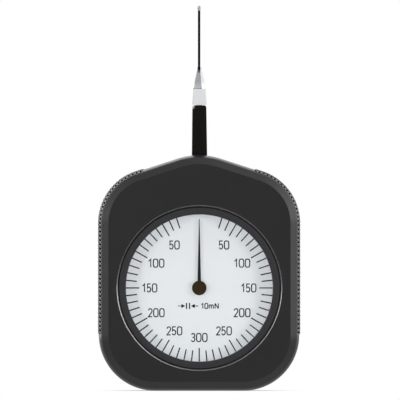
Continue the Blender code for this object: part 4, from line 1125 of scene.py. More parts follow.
    def boss_places(self) -> list[Point2]:
        """Centres of the cover's four screws."""
        outline = self.outline
        corner_x, corner_z = outline.corner_centre()
        low = outline.bottom_corner - self.wall - self.boss_setin
        high = outline.top_corner - self.wall - self.boss_setin
        middle = (math.pi / 2 - outline.slope) / 2
        low_x = outline.half_width - outline.bottom_corner + low * math.cos(math.pi / 4)
        low_z = outline.bottom_corner - low * math.sin(math.pi / 4)
        high_x, high_z = corner_x + high * math.cos(middle), corner_z + high * math.sin(middle)
        return [(side * x, z) for x, z in ((low_x, low_z), (high_x, high_z)) for side in (-1, 1)]

    def build_shell(self) -> None:
        """Make the front shell, with its screw bosses and the lever's slot."""
        shell = mesh_piece("case_shell", self.shell_mesh())
        panel = self.front + self.front_panel
        boss_back = self.lip - self.seat_gap
        boss = rod_profile(self.boss_radius, panel - OVERRUN, boss_back)
        bore = rod_profile(self.boss_bore, boss_back - self.boss_bore_depth, boss_back + OVERRUN)
        places = self.boss_places()
        carve(shell, Boolean.JOIN, *[turned_mesh(boss, place, ROD_STEPS) for place in places])
        bar_low, bar_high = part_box("lever_bar")
        top = self.outline.height
        low = (-self.slot_half_width, bar_low.y - self.slot_side_gap, top - self.slot_depth)
        high = (self.slot_half_width, bar_high.y + self.slot_side_gap, top + OVERRUN)
        bores = [turned_mesh(bore, place, BORE_STEPS) for place in places]
        carve(shell, Boolean.CUT, *bores, box_mesh(low, high))
        self.shop.seat(shell, Body.CASE, Slot.CASE_SHELL, self.shell_finish, ["front_case"])

    def build_cover(self) -> None:
        """Make the back cover with its rounded edge, its lip and its countersinks."""
        lip_inset = self.wall + self.seat_gap
        rings = [
            self.outline_ring(lip_inset + self.lip_width, self.cover_front),
            self.outline_ring(lip_inset + self.lip_width, self.lip),
            self.outline_ring(lip_inset, self.lip),
            self.outline_ring(lip_inset, self.cover_front),
            self.outline_ring(0.0, self.cover_front),
        ]
        for inset, drop in rounding(self.cover_round, self.cover_steps):
            rings.append(self.outline_ring(inset, self.back - drop))
        bm = bmesh.new()
        bands_of_faces(bm, [ring_of_vertices(bm, points) for points in rings], capped=True)
        cover = mesh_piece("rear_cover", bm)
        head = self.back - self.screw_recess
        neck = head - self.screw_head_depth
        wide, clear = self.screw_head + self.screw_clearance, self.boss_bore
        sink = [
            (0.0, self.back + OVERRUN), (wide, self.back + OVERRUN), (wide, head - self.screw_clearance),
            (clear, neck - self.screw_clearance), (clear, self.lip - OVERRUN), (0.0, self.lip - OVERRUN),
        ]
        carve(cover, Boolean.CUT, *[turned_mesh(sink, place, HEAD_STEPS) for place in self.boss_places()])
        self.shop.seat(cover, Body.CASE, Slot.CASE_SHELL, self.cover_finish, ["back_cover"])

    def build_screws(self) -> None:
        """Make the four countersunk cover screws."""
        edge = self.screw_clearance / 2
        for number, (x, z) in enumerate(self.boss_places(), start=1):
            node = f"cover_screw_{number}"
            low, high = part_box(node)
            shank = self.screw_head / 2
            neck = high.y - self.screw_head_depth
            profile = [
                (0.0, high.y), (self.screw_head - edge, high.y), (self.screw_head, high.y - edge),
                (shank, neck), (shank, low.y + edge), (shank - edge, low.y), (0.0, low.y),
            ]
            screw = mesh_piece(f"cover_screw_body_{number}", turned_mesh(profile, (x, z), HEAD_STEPS))
            half, reach = self.screw_slot / 2, self.screw_head + OVERRUN
            slot_low = (x - reach, high.y - self.screw_slot, z - half)
            slot_high = (x + reach, high.y + OVERRUN, z + half)
            carve(screw, Boolean.CUT, box_mesh(slot_low, slot_high))
            self.shop.seat(screw, Body.CASE, Slot.NICKEL_STEEL, self.screw_finish, [node])

    def build(self) -> None:
        """Make the whole case."""
        self.build_shell()
        self.build_cover()
        self.build_screws()


class Glyphs:
    """Pen strokes of the dial's figures, on a cell one unit high."""

    STROKE_SHARE = 0.125
    GAP_SHARE = 0.06
    ROUND_WIDTH = 0.555
    NARROW_WIDTH = 0.44
    FLAG_WIDTH = 0.25
    FLAG_BEARING = 0.13
    ARCH_WIDTH = 0.40
    CAPITAL_WIDTH = 0.62
    RING_STEPS = 40
    RING_POWERS = (0.55, 0.62)

    @staticmethod
    def arc(centre: Point2, radii: Point2, start: float, end: float, steps: int = 14) -> list[Point2]:
        """Points of an elliptical arc between two angles in degrees."""
        angles = [math.radians(start + (end - start) * step / steps) for step in range(steps + 1)]
        return [(centre[0] + radii[0] * math.cos(a), centre[1] + radii[1] * math.sin(a)) for a in angles]

    @classmethod
    def zero(cls) -> list[list[Point2]]:
        """A tall squared ring, whose last point is its first."""
        half = cls.ROUND_WIDTH / 2
        points = []
        for step in range(cls.RING_STEPS + 1):
            angle = 2 * math.pi * step / cls.RING_STEPS
            shares = (math.cos(angle), math.sin(angle))
            across, up = (math.copysign(abs(s) ** power, s) for s, power in zip(shares, cls.RING_POWERS))
            points.append((half + half * across, 0.5 + 0.5 * up))
        return [points]

    @classmethod
    def strokes(cls, character: str) -> tuple[list[list[Point2]], float, float]:
        """Strokes of one character.

        Args:
            character: One of 0, 1, 2, 3, 5, m and N.

        Returns:
            Its strokes' points, its width and the room after it.
        """
        wide, half = cls.NARROW_WIDTH, cls.NARROW_WIDTH / 2
        if character == "0":
            return cls.zero(), cls.ROUND_WIDTH, 0.0
        if character == "1":
            stem = cls.FLAG_WIDTH
            return [[(0.0, 0.72), (stem, 1.0), (stem, 0.0)]], stem, cls.FLAG_BEARING
        if character == "2":
            bowl = cls.arc((half, 0.73), (half, 0.27), 172.0, -28.0)
            return [bowl + [(0.0, 0.0), (wide, 0.0)]], wide, 0.0
        if character == "3":
            upper = cls.arc((half * 0.96, 0.755), (half * 0.92, 0.245), 160.0, -90.0)
            lower = cls.arc((half * 0.96, 0.255), (half, 0.255), 90.0, -162.0)
            return [upper + lower[1:]], wide, 0.0
        if character == "5":
            bowl = cls.arc((half * 0.94, 0.31), (half, 0.31), 138.0, -155.0)
            return [[(wide * 0.96, 1.0), (0.05, 1.0), (0.03, 0.5)] + bowl], wide, 0.0
        if character == "m":
            arch = cls.ARCH_WIDTH / 2
            first = [(0.0, 0.0), (0.0, 0.70)]
            second = cls.arc((arch, 0.52), (arch, 0.18), 180.0, 0.0, 8) + [(2 * arch, 0.0)]
            third = cls.arc((3 * arch, 0.52), (arch, 0.18), 180.0, 0.0, 8) + [(4 * arch, 0.0)]
            return [first, second, third], 4 * arch, 0.06
        wide = cls.CAPITAL_WIDTH
        corners = [(0.0, 0.0), (0.0, 1.0), (wide, 0.0), (wide, 1.0)]
        return [list(pair) for pair in zip(corners, corners[1:])], wide, 0.0


@dataclass
class Printer:
    """Prints on the dial: flat strokes of ink that stand a trace proud of its face."""

    dial_front: float
    thickness: float = 0.00002
    sink: float = 0.00001
    mitre_limit: float = 0.45

    def __post_init__(self) -> None:
        """Start with nothing printed."""
        self.bm = bmesh.new()
        self.front, self.back = self.dial_front - self.thickness, self.dial_front + self.sink

    def patch(self, outline: Sequence[Point2]) -> None:
        """Print a filled convex outline."""
        rings = [
            ring_of_vertices(self.bm, [(x, y, z) for x, z in outline]) for y in (self.front, self.back)
        ]
        bands_of_faces(self.bm, rings, capped=True)

    def stroke(self, points: Sequence[Point2], width: float) -> None:
        """Print a line of even width, mitred at its corners.

        Args:
            points: The line's middle. It is a closed loop if it ends where it starts.
            width: The line's width.
        """
        loop = math.dist(points[0], points[-1]) < WELD_DISTANCE
        path = [Vector(point) for point in (points[:-1] if loop else points)]
        count = len(path)
        rings = []
        for index, point in enumerate(path):
            before = path[index - 1] if loop or index else point
            after = path[(index + 1) % count] if loop or index < count - 1 else point
            along_in, along_out = (point - before), (after - point)
            first = along_in.normalized() if along_in.length else along_out.normalized()
            second = along_out.normalized() if along_out.length else first
            across = Vector((-(first + second).y, (first + second).x)).normalized()
            reach = width / 2 / max(self.mitre_limit, across.dot(Vector((-first.y, first.x))))
            left, right = point + across * reach, point - across * reach
            corners = (
                (left.x, self.front, left.y),
                (right.x, self.front, right.y),
                (right.x, self.back, right.y),
                (left.x, self.back, left.y),
            )
            rings.append(ring_of_vertices(self.bm, corners))
        bands_of_faces(self.bm, rings + rings[:1] if loop else rings, capped=not loop)

    def word(
        self,
        text: str,
        middle: Point2,
        height: float,
        stroke: float,
        gap_share: float = Glyphs.GAP_SHARE,
    ) -> None:
        """Print upright characters about a middle point.

        Args:
            text: The characters.
            middle: Middle of the word, as (x, z).
            height: Height of the figures, over their strokes.
            stroke: Width of the strokes.
            gap_share: Room between two characters, as a share of their height.
        """
        scale = height - stroke
        shapes = [Glyphs.strokes(character) for character in text]
        gap = gap_share + stroke / scale
        total = sum(width + bearing for _, width, bearing in shapes) + gap * (len(shapes) - 1)
        x = middle[0] - total * scale / 2
        for strokes, width, bearing in shapes:
            for points in strokes:
                self.stroke([(x + u * scale, middle[1] + (v - 0.5) * scale) for u, v in points], stroke)
            x += (width + bearing + gap) * scale

    def finish(self, name: str) -> Piece:
        """The printed piece."""
        return mesh_piece(name, self.bm)


@dataclass
class DialBuilder:
    """The window: the dial and its print, the crystal and the bezel ring."""

    shop: Workshop
    dial_finish: Finish
    ink_finish: Finish
    bezel_finish: Finish
    crystal_finish: Finish
    first_mark: int = 3
    last_mark: int = 30
    mark_angle: float = math.radians(6.0)
    long_every: int = 5
    unit_per_mark: int = 10
    mark_width: float = 0.00034
    mark_outer: float = 0.0209
    long_inner: float = 0.01705
    short_inner: float = 0.01784
    figure_circle: float = 0.0141
    figure_height: float = 0.00260
    legend_drop: float = 0.00513
    legend_height: float = 0.00176
    legend_stroke: float = 0.00029
    legend_gap_share: float = 0.08
    legend_bar: float = 0.00034
    legend_hair: float = 0.00023
    legend_text: str = "10mN"
    legend_text_x: float = 0.00303
    arrow_length: float = 0.00114
    arrow_half: float = 0.00060
    arrow_tail: float = 0.00215
    bars_x: Point2 = (-0.00362, -0.00274)
    bezel_edge: float = 0.00014
    turn_steps: int = 240

    def __post_init__(self) -> None:
        """Read the window's places from the frame."""
        low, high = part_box("bezel_ring")
        self.bezel_front, self.bezel_back = low.y, high.y
        self.bezel_outer = (high.x - low.x) / 2
        self.centre = (0.0, (low.z + high.z) / 2)
        self.dial_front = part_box("dial_plate")[0].y

    def point(self, radius: float, angle: float) -> Point2:
        """A point of the dial at an angle clockwise from the top."""
        return radius * math.sin(angle), self.centre[1] + radius * math.cos(angle)

    def marks(self, first: int, every: int) -> Iterator[tuple[int, float]]:
        """Number and angle of the graduations on both sides, with the lowest one once."""
        for mark in range(first, self.last_mark + 1, every):
            for side in (-1, 1) if mark < self.last_mark else (1,):
                yield mark, side * mark * self.mark_angle

    def build_marks(self) -> None:
        """Print the graduations, the same way round on both sides."""
        printer = Printer(self.dial_front)
        for mark, angle in self.marks(self.first_mark, 1):
            inner = self.short_inner if mark % self.long_every else self.long_inner
            ends = [self.point(radius, angle) for radius in (inner, self.mark_outer)]
            printer.stroke(ends, self.mark_width)
        self.shop.seat(printer.finish("dial_graduations"), Body.CASE, Slot.POINTER, self.ink_finish)

    def build_figures(self) -> None:
        """Print the plain figures inside the long graduations."""
        printer = Printer(self.dial_front)
        stroke = self.figure_height * Glyphs.STROKE_SHARE
        for mark, angle in self.marks(self.long_every, self.long_every):
            middle = self.point(self.figure_circle, angle)
            printer.word(str(mark * self.unit_per_mark), middle, self.figure_height, stroke)
        self.shop.seat(printer.finish("dial_figures"), Body.CASE, Slot.POINTER, self.ink_finish)

    def build_legend(self) -> None:
        """Print what one division stands for: two arrows on a pair of marks, and its value."""
        printer = Printer(self.dial_front)
        z = self.centre[1] - self.legend_drop
        half = self.legend_height / 2
        for bar, side in zip(self.bars_x, (-1, 1)):
            printer.stroke([(bar, z - half), (bar, z + half)], self.legend_bar)
            tip = bar + side * self.legend_bar
            base = tip + side * self.arrow_length
            printer.patch([(tip, z), (base, z + self.arrow_half), (base, z - self.arrow_half)])
            printer.stroke([(base, z), (tip + side * self.arrow_tail, z)], self.legend_hair)
        middle = (self.legend_text_x, z)
        stroke, gap_share = self.legend_stroke, self.legend_gap_share
        printer.word(self.legend_text, middle, self.legend_height, stroke, gap_share)
        self.shop.seat(printer.finish("dial_legend"), Body.CASE, Slot.POINTER, self.ink_finish)

    def build_window(self) -> None:
        """Make the bezel ring and the crystal, both fully round."""
        edge = self.bezel_edge
        inner, outer = self.mark_outer, self.bezel_outer
        front, back = self.bezel_front, self.bezel_back
        profile = [
            (inner, back), (outer, back), (outer, front + edge), (outer - edge / 3, front + edge / 3),
            (outer - edge, front), (inner + edge, front), (inner + edge / 3, front + edge / 3),
            (inner, front + edge),
        ]
        bezel = mesh_piece("window_bezel", turned_mesh(profile, self.centre, self.turn_steps, closed=True))
        self.shop.seat(bezel, Body.CASE, Slot.BEZEL, self.bezel_finish, ["bezel_ring"])
        low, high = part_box("crystal")
        radius = (high.x - low.x) / 2
        profile = [
            (0.0, high.y), (radius - edge, high.y), (radius, high.y - edge),
            (radius, low.y + edge), (radius - edge, low.y), (0.0, low.y),
        ]
        crystal = mesh_piece("window_crystal", turned_mesh(profile, self.centre, self.turn_steps))
        self.shop.seat(crystal, Body.CASE, Slot.CRYSTAL, self.crystal_finish, ["crystal"])

    def build(self) -> None:
        """Make and dress everything in the window."""
        self.shop.dress("dial_plate", self.dial_finish)
        self.build_marks()
        self.build_figures()
        self.build_legend()
        self.build_window()


@dataclass
class PointerBuilder:
    """The pointer: a tapered needle under a flat dark hub."""

    shop: Workshop
    needle_finish: Finish
    hub_finish: Finish
    eye_radius: float = 0.0016
    eye_steps: int = 40
    root_width: float = 0.00102
    middle_width: float = 0.00060
    tip_width: float = 0.00021
    needle_edge: float = 0.00003
    hub_cap: float = 0.00035
    hub_round_share: float = 0.6
    hub_round_steps: int = 5
    neck_radius: float = 0.0009

    def build_needle(self) -> None:
        """Make the needle as one thin blade with an eye round the hub's neck."""
        low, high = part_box("pointer_needle")
        centre_z = low.z + self.eye_radius
        reach = high.z
        start = math.asin(self.root_width / 2 / self.eye_radius)
        sweep = 2 * math.pi - 2 * start
        angles = [start + sweep * step / self.eye_steps for step in range(self.eye_steps + 1)]
        outline = [
            (self.eye_radius * math.sin(angle), centre_z + self.eye_radius * math.cos(angle))
            for angle in angles
        ]
        middle_z = centre_z + (reach - centre_z) / 2
        blade = [(self.middle_width / 2, middle_z), (self.tip_width / 2, reach)]
        outline = [(x, z) for x, z in reversed(blade)] + outline + [(-x, z) for x, z in blade]
        needle = mesh_piece("needle_blade", slab_mesh(outline, low.y, high.y, self.needle_edge))
        self.shop.seat(needle, Body.POINTER, Slot.POINTER, self.needle_finish, ["pointer_needle"])

    def build_hub(self) -> None:
        """Make the hub as a turned button on a neck."""
        low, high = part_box("pointer_hub")
        radius, front = (high.x - low.x) / 2, low.y
        centre = ((high.x + low.x) / 2, (high.z + low.z) / 2)
        cap_back = front + self.hub_cap
        round_off = self.hub_cap * self.hub_round_share
        neck = self.neck_radius
        profile = [(0.0, high.y), (neck, high.y), (neck, cap_back), (radius, cap_back)]
        edge = rounding(round_off, self.hub_round_steps)
        profile += [(radius - inset, front + drop) for inset, drop in edge]
        profile += [(radius / 2, front), (0.0, front)]
        hub = mesh_piece("hub_button", turned_mesh(profile, centre, HUB_STEPS))
        self.shop.seat(hub, Body.POINTER, Slot.POINTER, self.hub_finish, ["pointer_hub"])

    def build(self) -> None:
        """Make the pointer's two visible pieces."""
        self.build_needle()
        self.build_hub()


@dataclass
class LeverBuilder:
    """The feeler lever: black bar, bright tip holder, thin stylus and contact ball."""

    shop: Workshop
    bar_finish: Finish
    holder_finish: Finish
    stylus_finish: Finish
    ball_finish: Finish
    bar_width: float = 0.00402
    bar_top_width: float = 0.00399
    bar_root_width: float = 0.00454
    bar_corner: float = 0.0004
    bar_edge: float = 0.00012
    hub_radius: float = 0.0034
    hub_steps: int = 44
    shaft_bore: float = 0.0011
    screw_bore: float = 0.00065
    screw_offset: float = 0.0022
    screw_depth: float = 0.00155
    tang_radius: float = 0.0008
    tang_length: float = 0.0030
    tang_clearance: float = 0.0001
    holder_lean: float = 0.00011
    bar_lean: float = 0.00009
    root_lean: float = 0.00015
    stylus_lean: float = 0.00003
    stylus_radius: float = 0.00035
    ball_steps: int = 12
    sleeve_share: float = 0.94
    sleeve_length: float = 0.00066
    sleeve_taper: float = 0.00024
    bevel_share: float = 0.16
    section_shares: tuple[tuple[float, float, float, float], ...] = (
        (0.000, 0.99, 0.98, 0.11),
        (0.015, 1.00, 1.00, 0.11),
        (0.225, 0.95, 1.00, 0.11),
        (0.425, 0.868, 1.00, 0.11),
        (0.430, 0.865, 0.99, 0.37),
        (0.645, 0.655, 0.72, 0.42),
        (0.780, 0.49, 0.52, 0.46),
        (0.910, 0.34, 0.42, 0.46),
        (1.000, 0.29, 0.40, 0.40),
    )
    groove_half: float = 0.00038
    line_share: float = 0.428
    line_width: float = 0.00026
    line_depth: float = 0.00045
    line_end: float = 0.0007
    stylus_point: float = 0.0013

    def __post_init__(self) -> None:
        """Read the lever's places from the frame."""
        self.bar_low, self.bar_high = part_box("lever_bar")
        self.holder_low, self.holder_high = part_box("tip_holder")
        self.pivot_z = self.shop.joints["lever_swing"]["pos_m"][2]
        self.middle_y = (self.bar_low.y + self.bar_high.y) / 2

    def rod(self, radius: float, low: float, high: float) -> Mesh:
        """An upright rod in the middle of the lever's thickness."""
        profile = rod_profile(radius, low, high)
        return turned_mesh(profile, (0.0, self.middle_y), ROD_STEPS, axis=Axis.Z)

    def build_bar(self) -> None:
        """Make the bar with its round hub, softened edges and bores."""
        half, top = self.bar_top_width / 2, self.bar_high.z
        foot, foot_z = self.bar_root_width / 2, self.pivot_z + self.hub_radius
        root = math.acos(foot / self.hub_radius)
        sweep = math.pi + 2 * root
        right = [(half, top - self.bar_corner), (half - self.bar_corner, top)]
        outline = [(self.bar_lean + x, z) for x, z in right]
        outline += [(self.bar_lean - x, z) for x, z in reversed(right)]
        outline = [(self.root_lean + foot, foot_z)] + outline + [(self.root_lean - foot, foot_z)]
        for step in range(self.hub_steps + 1):
            angle = math.pi - root + sweep * step / self.hub_steps
            x, rise = self.hub_radius * math.cos(angle), self.hub_radius * math.sin(angle)
            outline.append((x, self.pivot_z + rise))
        blank = slab_mesh(outline, self.bar_low.y, self.bar_high.y, self.bar_edge)
        bar = mesh_piece("lever_blade", blank)
        front, back = self.bar_low.y - OVERRUN, self.bar_high.y + OVERRUN
        bore = rod_profile(self.shaft_bore, front, back)
        tools = [turned_mesh(bore, (0.0, self.pivot_z), HEAD_STEPS)]
        hole = rod_profile(self.screw_bore, self.bar_high.y - self.screw_depth, back)
        for side in (-1, 1):
            tools.append(turned_mesh(hole, (side * self.screw_offset, self.pivot_z), BORE_STEPS))
        seat = self.tang_radius + self.tang_clearance
        tools.append(self.rod(seat, self.holder_low.z - self.tang_clearance, top + OVERRUN))
        carve(bar, Boolean.CUT, *tools)
        self.shop.seat(bar, Body.LEVER, Slot.LEVER, self.bar_finish, ["lever_bar"])

    def build_holder(self) -> None:
        """Make the tip holder: a square block that is cut back to a slim four-sided point."""
        foot = self.holder_low.z + self.tang_length
        length = self.holder_high.z - foot
        half_x = self.bar_width / 2
        half_y = (self.bar_high.y - self.bar_low.y) / 2
        bm = bmesh.new()
        rings = []
        for height, wide, deep, cut in self.section_shares:
            x, y = half_x * wide, half_y * deep
            small = self.bevel_share * min(x, y)
            large = cut * min(x, y) * 2
            corners = (
                (x, y - small), (x - small, y), (small - x, y), (-x, y - small),
                (-x, small - y), (small - x, -y), (x - large, -y), (x, large - y),
            )
            z = foot + length * height
            points = [(u + self.holder_lean, self.middle_y + v, z) for u, v in corners]
            rings.append(ring_of_vertices(bm, points))
        bands_of_faces(bm, rings, capped=True)
        holder = mesh_piece("tip_holder_block", bm, FACET_ANGLE)
        carve(holder, Boolean.JOIN, self.rod(self.tang_radius, self.holder_low.z, foot + OVERRUN))
        top = self.holder_high.z + OVERRUN
        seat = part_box("stylus")[0].z - self.tang_clearance
        low = (-self.groove_half, self.bar_low.y - OVERRUN, seat)
        groove = box_mesh(low, (self.groove_half, self.middle_y, top))
        line, half = foot + length * self.line_share, self.line_width / 2
        low = (-self.bar_width, self.bar_low.y - OVERRUN, line - half)
        scribed_groove_and_shade = box_mesh(low, (self.line_end, self.bar_low.y + self.line_depth, line + half))
        carve(holder, Boolean.CUT, self.rod(self.groove_half, seat, top), groove, scribed_groove_and_shade)
        holder.data.set_sharp_from_angle(angle=FACET_ANGLE)
        self.shop.seat(holder, Body.LEVER, Slot.BRIGHT_STEEL, self.holder_finish, ["tip_holder"])

    def build_tip(self) -> None:
        """Make the stylus and the ball at its end, whose short sleeve grips the rod."""
        low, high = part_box("stylus")
        radius = self.stylus_radius
        profile = [(0.0, high.z), (radius, high.z), (radius, low.z + self.stylus_point), (0.0, low.z)]
        centre = (self.stylus_lean, self.middle_y)
        stylus = mesh_piece("stylus_rod", turned_mesh(profile, centre, ROD_STEPS, axis=Axis.Z))
        self.shop.seat(stylus, Body.LEVER, Slot.LEVER, self.stylus_finish, ["stylus"])
        low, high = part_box("contact_ball")
        ball = (high.x - low.x) / 2
        middle = high.z - ball
        angles = [math.pi / 2 * step / self.ball_steps for step in range(self.ball_steps + 1)]
        profile = [(ball * math.sin(angle), middle + ball * math.cos(angle)) for angle in angles]
        sleeve_low = middle - self.sleeve_length
        profile += [
            (ball * self.sleeve_share, sleeve_low),
            (radius, sleeve_low - self.sleeve_taper),
            (0.0, sleeve_low - self.sleeve_taper),
        ]
        tip = mesh_piece("ball_tip", turned_mesh(profile, centre, HEAD_STEPS, axis=Axis.Z))
        self.shop.seat(tip, Body.LEVER, Slot.BRIGHT_STEEL, self.ball_finish, ["contact_ball"])

    def build(self) -> None:
        """Make the whole lever above its shaft."""
        self.build_bar()
        self.build_holder()
        self.build_tip()


@dataclass
class MovementDresser:
    """The works inside the case: the nodes stay as they are and get their metals."""

    shop: Workshop
    brass: Finish
    nickel: Finish
    steel: Finish
    blued: Finish
    ruby: Finish

    def build(self) -> None:
        """Dress every piece of the movement."""
        plates = ("movement_front_plate", "movement_rear_plate", "sector_gear")
        fittings = ("main_spring_collet", "main_spring_stud", "hairspring_collet", "hairspring_stud")
        bearings = ("centre_pinion", "front_lever_bush", "rear_lever_bush")
        stops = ("stop_pin_left", "stop_pin_right", "sector_screw_left", "sector_screw_right")
        pillars, plate_screws, bridge_screws = (
            tuple(f"{stem}_{number}" for number in range(1, count + 1))
            for stem, count in (("pillar", 4), ("plate_screw", 3), ("bridge_screw", 4))
        )
        groups = (
            (self.brass, plates + fittings + pillars),
            (self.nickel, plate_screws + bearings + stops),
            (self.steel, ("lever_shaft", "pointer_arbor")),
            (self.blued, ("main_spring", "hairspring") + bridge_screws),
            (self.ruby, ("front_jewel", "rear_jewel")),
        )
        for finish, nodes in groups:
            for node in nodes:
                self.shop.dress(node, finish)


@dataclass
class Studio:
    """The pale floor, the soft lamps, the white surround and the camera."""

    pixel: float = 0.0002841
    frame_pixels: int = 400
    axis_pixel: float = 199.45
    floor_pixel: float = 391.0
    yaw: float = math.radians(1.0)
    lens_mm: float = 1000.0
    sensor_mm: float = 36.0
    floor_size: float = 8.0
    lamp_target: Point3 = (0.0, 0.0, 0.04)
    front_glow: float = 0.12
    side_glow: float = 2.20
    panel_glow: float = 2.3
    right_gain: float = 0.45
    right_shade: float = 0.90
    top_gain: float = -1.75
    floor_glow: float = 0.60
    fill: float = 0.30
    fill_top: float = 1.20
    floor_colour: Rgb = (236, 236, 236)
    dim_reach: float = 0.03
    contact_reach: float = 0.010
    contact_samples: int = 8
    contact_span: Point2 = (-0.8, 0.85)
    side_span: Point2 = (-0.95, -0.15)
    panel_span: Point2 = (0.30, 0.60)
    panel_fade: float = 0.8
    panel_fade_span: Point2 = (0.55, 0.95)
    shade_span: Point2 = (0.05, 0.40)
    top_span: Point2 = (0.75, 0.95)
    clip: Point2 = (0.01, 50.0)

    def build_camera(self) -> None:
        """Look at the dial from a trace to its left through a long lens, framed as the photograph is."""
        camera = bpy.data.cameras.new("camera")
        camera.lens, camera.sensor_width = self.lens_mm, self.sensor_mm
        middle = self.frame_pixels / 2
        distance = self.lens_mm / self.sensor_mm * self.frame_pixels * self.pixel
        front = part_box("front_case")[0].y
        eye = bpy.data.objects.new("camera", camera)
        aim = Vector(
            ((middle - self.axis_pixel) * self.pixel, front, (self.floor_pixel - middle) * self.pixel)
        )
        eye.location = aim - distance * Vector((math.sin(self.yaw), math.cos(self.yaw), 0.0))
        eye.rotation_euler = (math.pi / 2, 0.0, -self.yaw)
        camera.clip_start, camera.clip_end = self.clip
        bpy.context.scene.collection.objects.link(eye)
        bpy.context.scene.camera = eye

    def build_lamp(self, name: str, place: Point3, size: float, share: float) -> None:
        """Hang a soft square lamp that only lights: what gloss and glass mirror is the surround.

        Args:
            name: The lamp's name.
            place: Where it hangs.
            size: Its width.
            share: How bright it alone makes a white surface that faces it.
        """
        lamp = bpy.data.lights.new(name, "AREA")
        lamp.size = size
        away = Vector(place) - Vector(self.lamp_target)
        lamp.energy = share * math.pi**2 * away.length_squared
        item = bpy.data.objects.new(name, lamp)
        item.visible_camera = False
        item.visible_glossy = False
        item.visible_transmission = False
        item.location = place
        item.rotation_euler = away.to_track_quat("Z", "Y").to_euler()
        bpy.context.scene.collection.objects.link(item)

    def build_world(self) -> None:
        """A white surround that is dim where the dial looks, as a dark room in front of a light tent is."""
        world = bpy.data.worlds.new("white_surround")
        world.use_nodes = True
        bpy.context.scene.world = world
        graph = Graph(world.node_tree)
        direction = graph.node("ShaderNodeTexCoord").outputs["Generated"]
        across, depth, up = graph.parts(direction)
        path = graph.node("ShaderNodeLightPath")
        glossy = self.mirror_ray(graph, path)
        shown = Signal(graph, path.outputs["Is Camera Ray"])
        ring = self.side_glow + self.right_gain * across + self.top_gain * up
        sides = (ring - self.front_glow) * depth.ramp(*self.side_span)
        panels = self.panel_glow * depth.ramp(*self.panel_span)
        panels = panels * (1 - self.panel_fade * depth.ramp(*self.panel_fade_span))
        panels = panels * (1 - self.right_shade * across.ramp(*self.shade_span))
        mirrored = self.front_glow + sides + panels
        soft = self.fill + self.fill_top * up.ramp(*self.top_span)
        fill = soft * (1 - glossy) + mirrored * glossy
        strength = shown + fill * (1 - shown)
        inputs = {"Color": (1.0, 1.0, 1.0, 1.0), "Strength": strength}
        light = graph.node("ShaderNodeBackground", {}, inputs)
        graph.node("ShaderNodeOutputWorld", {}, {"Surface": light.outputs[0]})

    def mirror_ray(self, graph: Graph, path: Node) -> Signal:
        """1 for a ray that came by gloss and glass alone, and 0 once a matt surface has scattered it."""
        scattered = Signal(graph, path.outputs["Diffuse Depth"]).ramp(0.0, 1.0)
        return Signal(graph, path.outputs["Is Glossy Ray"]) * (1 - scattered)

    def build_floor(self) -> None:
        """A pale floor that shows white and keeps the soft shadow under the gauge."""
        bm = bmesh.new()
        bmesh.ops.create_grid(bm, x_segments=1, y_segments=1, size=self.floor_size / 2)
        floor = mesh_piece("floor", bm)
        material = bpy.data.materials.new("floor_white")
        material.use_nodes = True
        graph = Graph(material.node_tree)
        paint = graph.node("ShaderNodeBsdfDiffuse", {}, {"Color": linear(self.floor_colour)})
        settings, inputs = {"samples": self.contact_samples}, {"Distance": self.contact_reach}
        contact = graph.node("ShaderNodeAmbientOcclusion", settings, inputs)
        open_sky = Signal(graph, contact.outputs["AO"]).ramp(*self.contact_span)
        path = graph.node("ShaderNodeLightPath")
        glossy = self.mirror_ray(graph, path)
        _, depth, _ = graph.parts(graph.object_place())
        mirrored = self.front_glow + (self.floor_glow - self.front_glow) * depth.ramp(-self.dim_reach, 0.0)
        strength = open_sky + glossy * (mirrored - open_sky)
        shine = graph.node("ShaderNodeEmission", {}, {"Strength": strength})
        seen = Signal(graph, path.outputs["Is Camera Ray"]).larger(glossy)
        graph.node("ShaderNodeOutputMaterial", {}, {"Surface": graph.blend_shaders(seen, paint, shine)})
        floor.data.materials.append(material)

    def build(self) -> None:
        """Set up the whole studio."""
        bpy.context.scene.view_settings.view_transform = "Standard"
        self.build_camera()
        self.build_world()
        self.build_floor()
        self.build_lamp("front_softbox", (0.02, -1.50, 0.03), 0.06, 0.45)
        self.build_lamp("left_softbox", (-0.75, -0.70, 0.11), 0.20, 0.17)
        self.build_lamp("right_softbox", (0.80, -0.60, 0.11), 0.20, 0.22)


def clear_scene() -> None:
    """Remove what the default scene holds."""
    for item in list(bpy.data.objects):
        bpy.data.objects.remove(item, do_unlink=True)


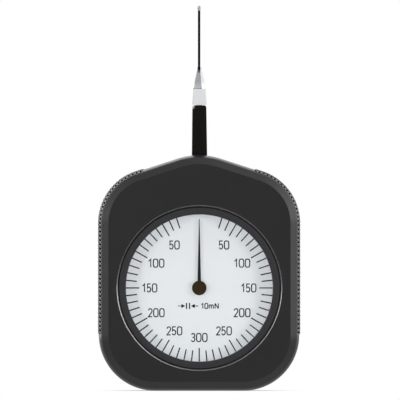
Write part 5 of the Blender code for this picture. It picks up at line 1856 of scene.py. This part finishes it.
def main() -> None:
    """Build every sub-assembly in order."""
    logging.basicConfig(level=logging.INFO, format="%(name)s: %(message)s")
    clear_scene()
    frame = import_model()
    Studio().build()
    shop = Workshop(frame)
    glass_low, glass_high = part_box("crystal")
    dial_centre = (0.0, (glass_low.z + glass_high.z) / 2)

    window_radius = (glass_high.x - glass_low.x) / 2 + CaseBuilder.window_gap
    bevel_end = window_radius + CaseBuilder.window_bevel
    cut_edge = (window_radius + WELD_DISTANCE, bevel_end - 2 * WELD_DISTANCE)
    case_black = MouldedPlastic(
        "case_black",
        (39, 39, 40),
        roughness=0.30,
        cut_centre=dial_centre,
        cut_radii=cut_edge,
        cut_back=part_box("front_case")[0].y + CaseBuilder.front_panel,
    )
    cover_black = MouldedPlastic("cover_black", (39, 39, 40), roughness=0.30)
    holder_low, holder_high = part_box("tip_holder")
    foot = holder_low.z + LeverBuilder.tang_length
    ground_above = foot + (holder_high.z - foot) * LeverBuilder.line_share
    holder_satin = SatinBlock(
        "satin_plate", (214, 216, 218), roughness=0.42, metallic=0.10, ground_above=ground_above
    )
    nickel = TurnedMetal("nickel_plate", (190, 190, 188), roughness=0.30, metallic=1.0)
    pivot_steel = TurnedMetal("pivot_steel", (205, 207, 210), roughness=0.18, metallic=1.0)
    ball_steel = TurnedMetal("ball_steel", (182, 183, 186), roughness=0.45, metallic=0.35)
    brass = GroundMetal(
        "movement_brass", (196, 166, 98), roughness=0.35, metallic=1.0, run=(0.03, 1.0, 1.0)
    )
    blued = GroundMetal("blued_steel", (40, 44, 62), roughness=0.28, metallic=1.0, run=(1.0, 0.03, 1.0))
    ruby = ClearGlass("ruby", (150, 30, 50), roughness=0.05)
    bar_edge = LeverBuilder.bar_lean - LeverBuilder.bar_top_width / 2
    # The bar's corner where the black coat gets a painted highlight.
    painted_highlight_corner = (bar_edge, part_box("lever_bar")[1].z - LeverBuilder.bar_corner)
    lever_black = LacquerWithPaintedHighlight(
        "lever_black_oxide", (19, 17, 14), roughness=0.42, specular=0.15, painted_highlight_centre=painted_highlight_corner
    )
    stylus_black = Lacquer("stylus_black_oxide", (9, 8, 8), roughness=0.50, specular=0.08, peel_depth=2e-7)
    dial_white = Lacquer("dial_white", (237, 240, 243), roughness=0.55, specular=0.3)
    ink = Lacquer("dial_ink", (18, 19, 22), roughness=0.60, specular=0.1)
    needle = Lacquer("needle_black", (30, 30, 31), roughness=0.45, specular=0.15)
    hub = TurnedMetal("hub_dark_bronze", (47, 36, 13), roughness=0.45, specular=0.05, centre=dial_centre)
    bezel = TurnedMetal("bezel_dark_grey", (48, 48, 50), roughness=0.42, centre=dial_centre)
    glass = ClearGlass("crystal_clear", (254, 255, 255), roughness=0.0)

    CaseBuilder(shop, case_black, cover_black, nickel).build()
    DialBuilder(shop, dial_white, ink, bezel, glass).build()
    PointerBuilder(shop, needle, hub).build()
    LeverBuilder(shop, lever_black, holder_satin, stylus_black, ball_steel).build()
    MovementDresser(shop, brass, nickel, pivot_steel, blued, ruby).build()


if __name__ == "__main__":
    main()
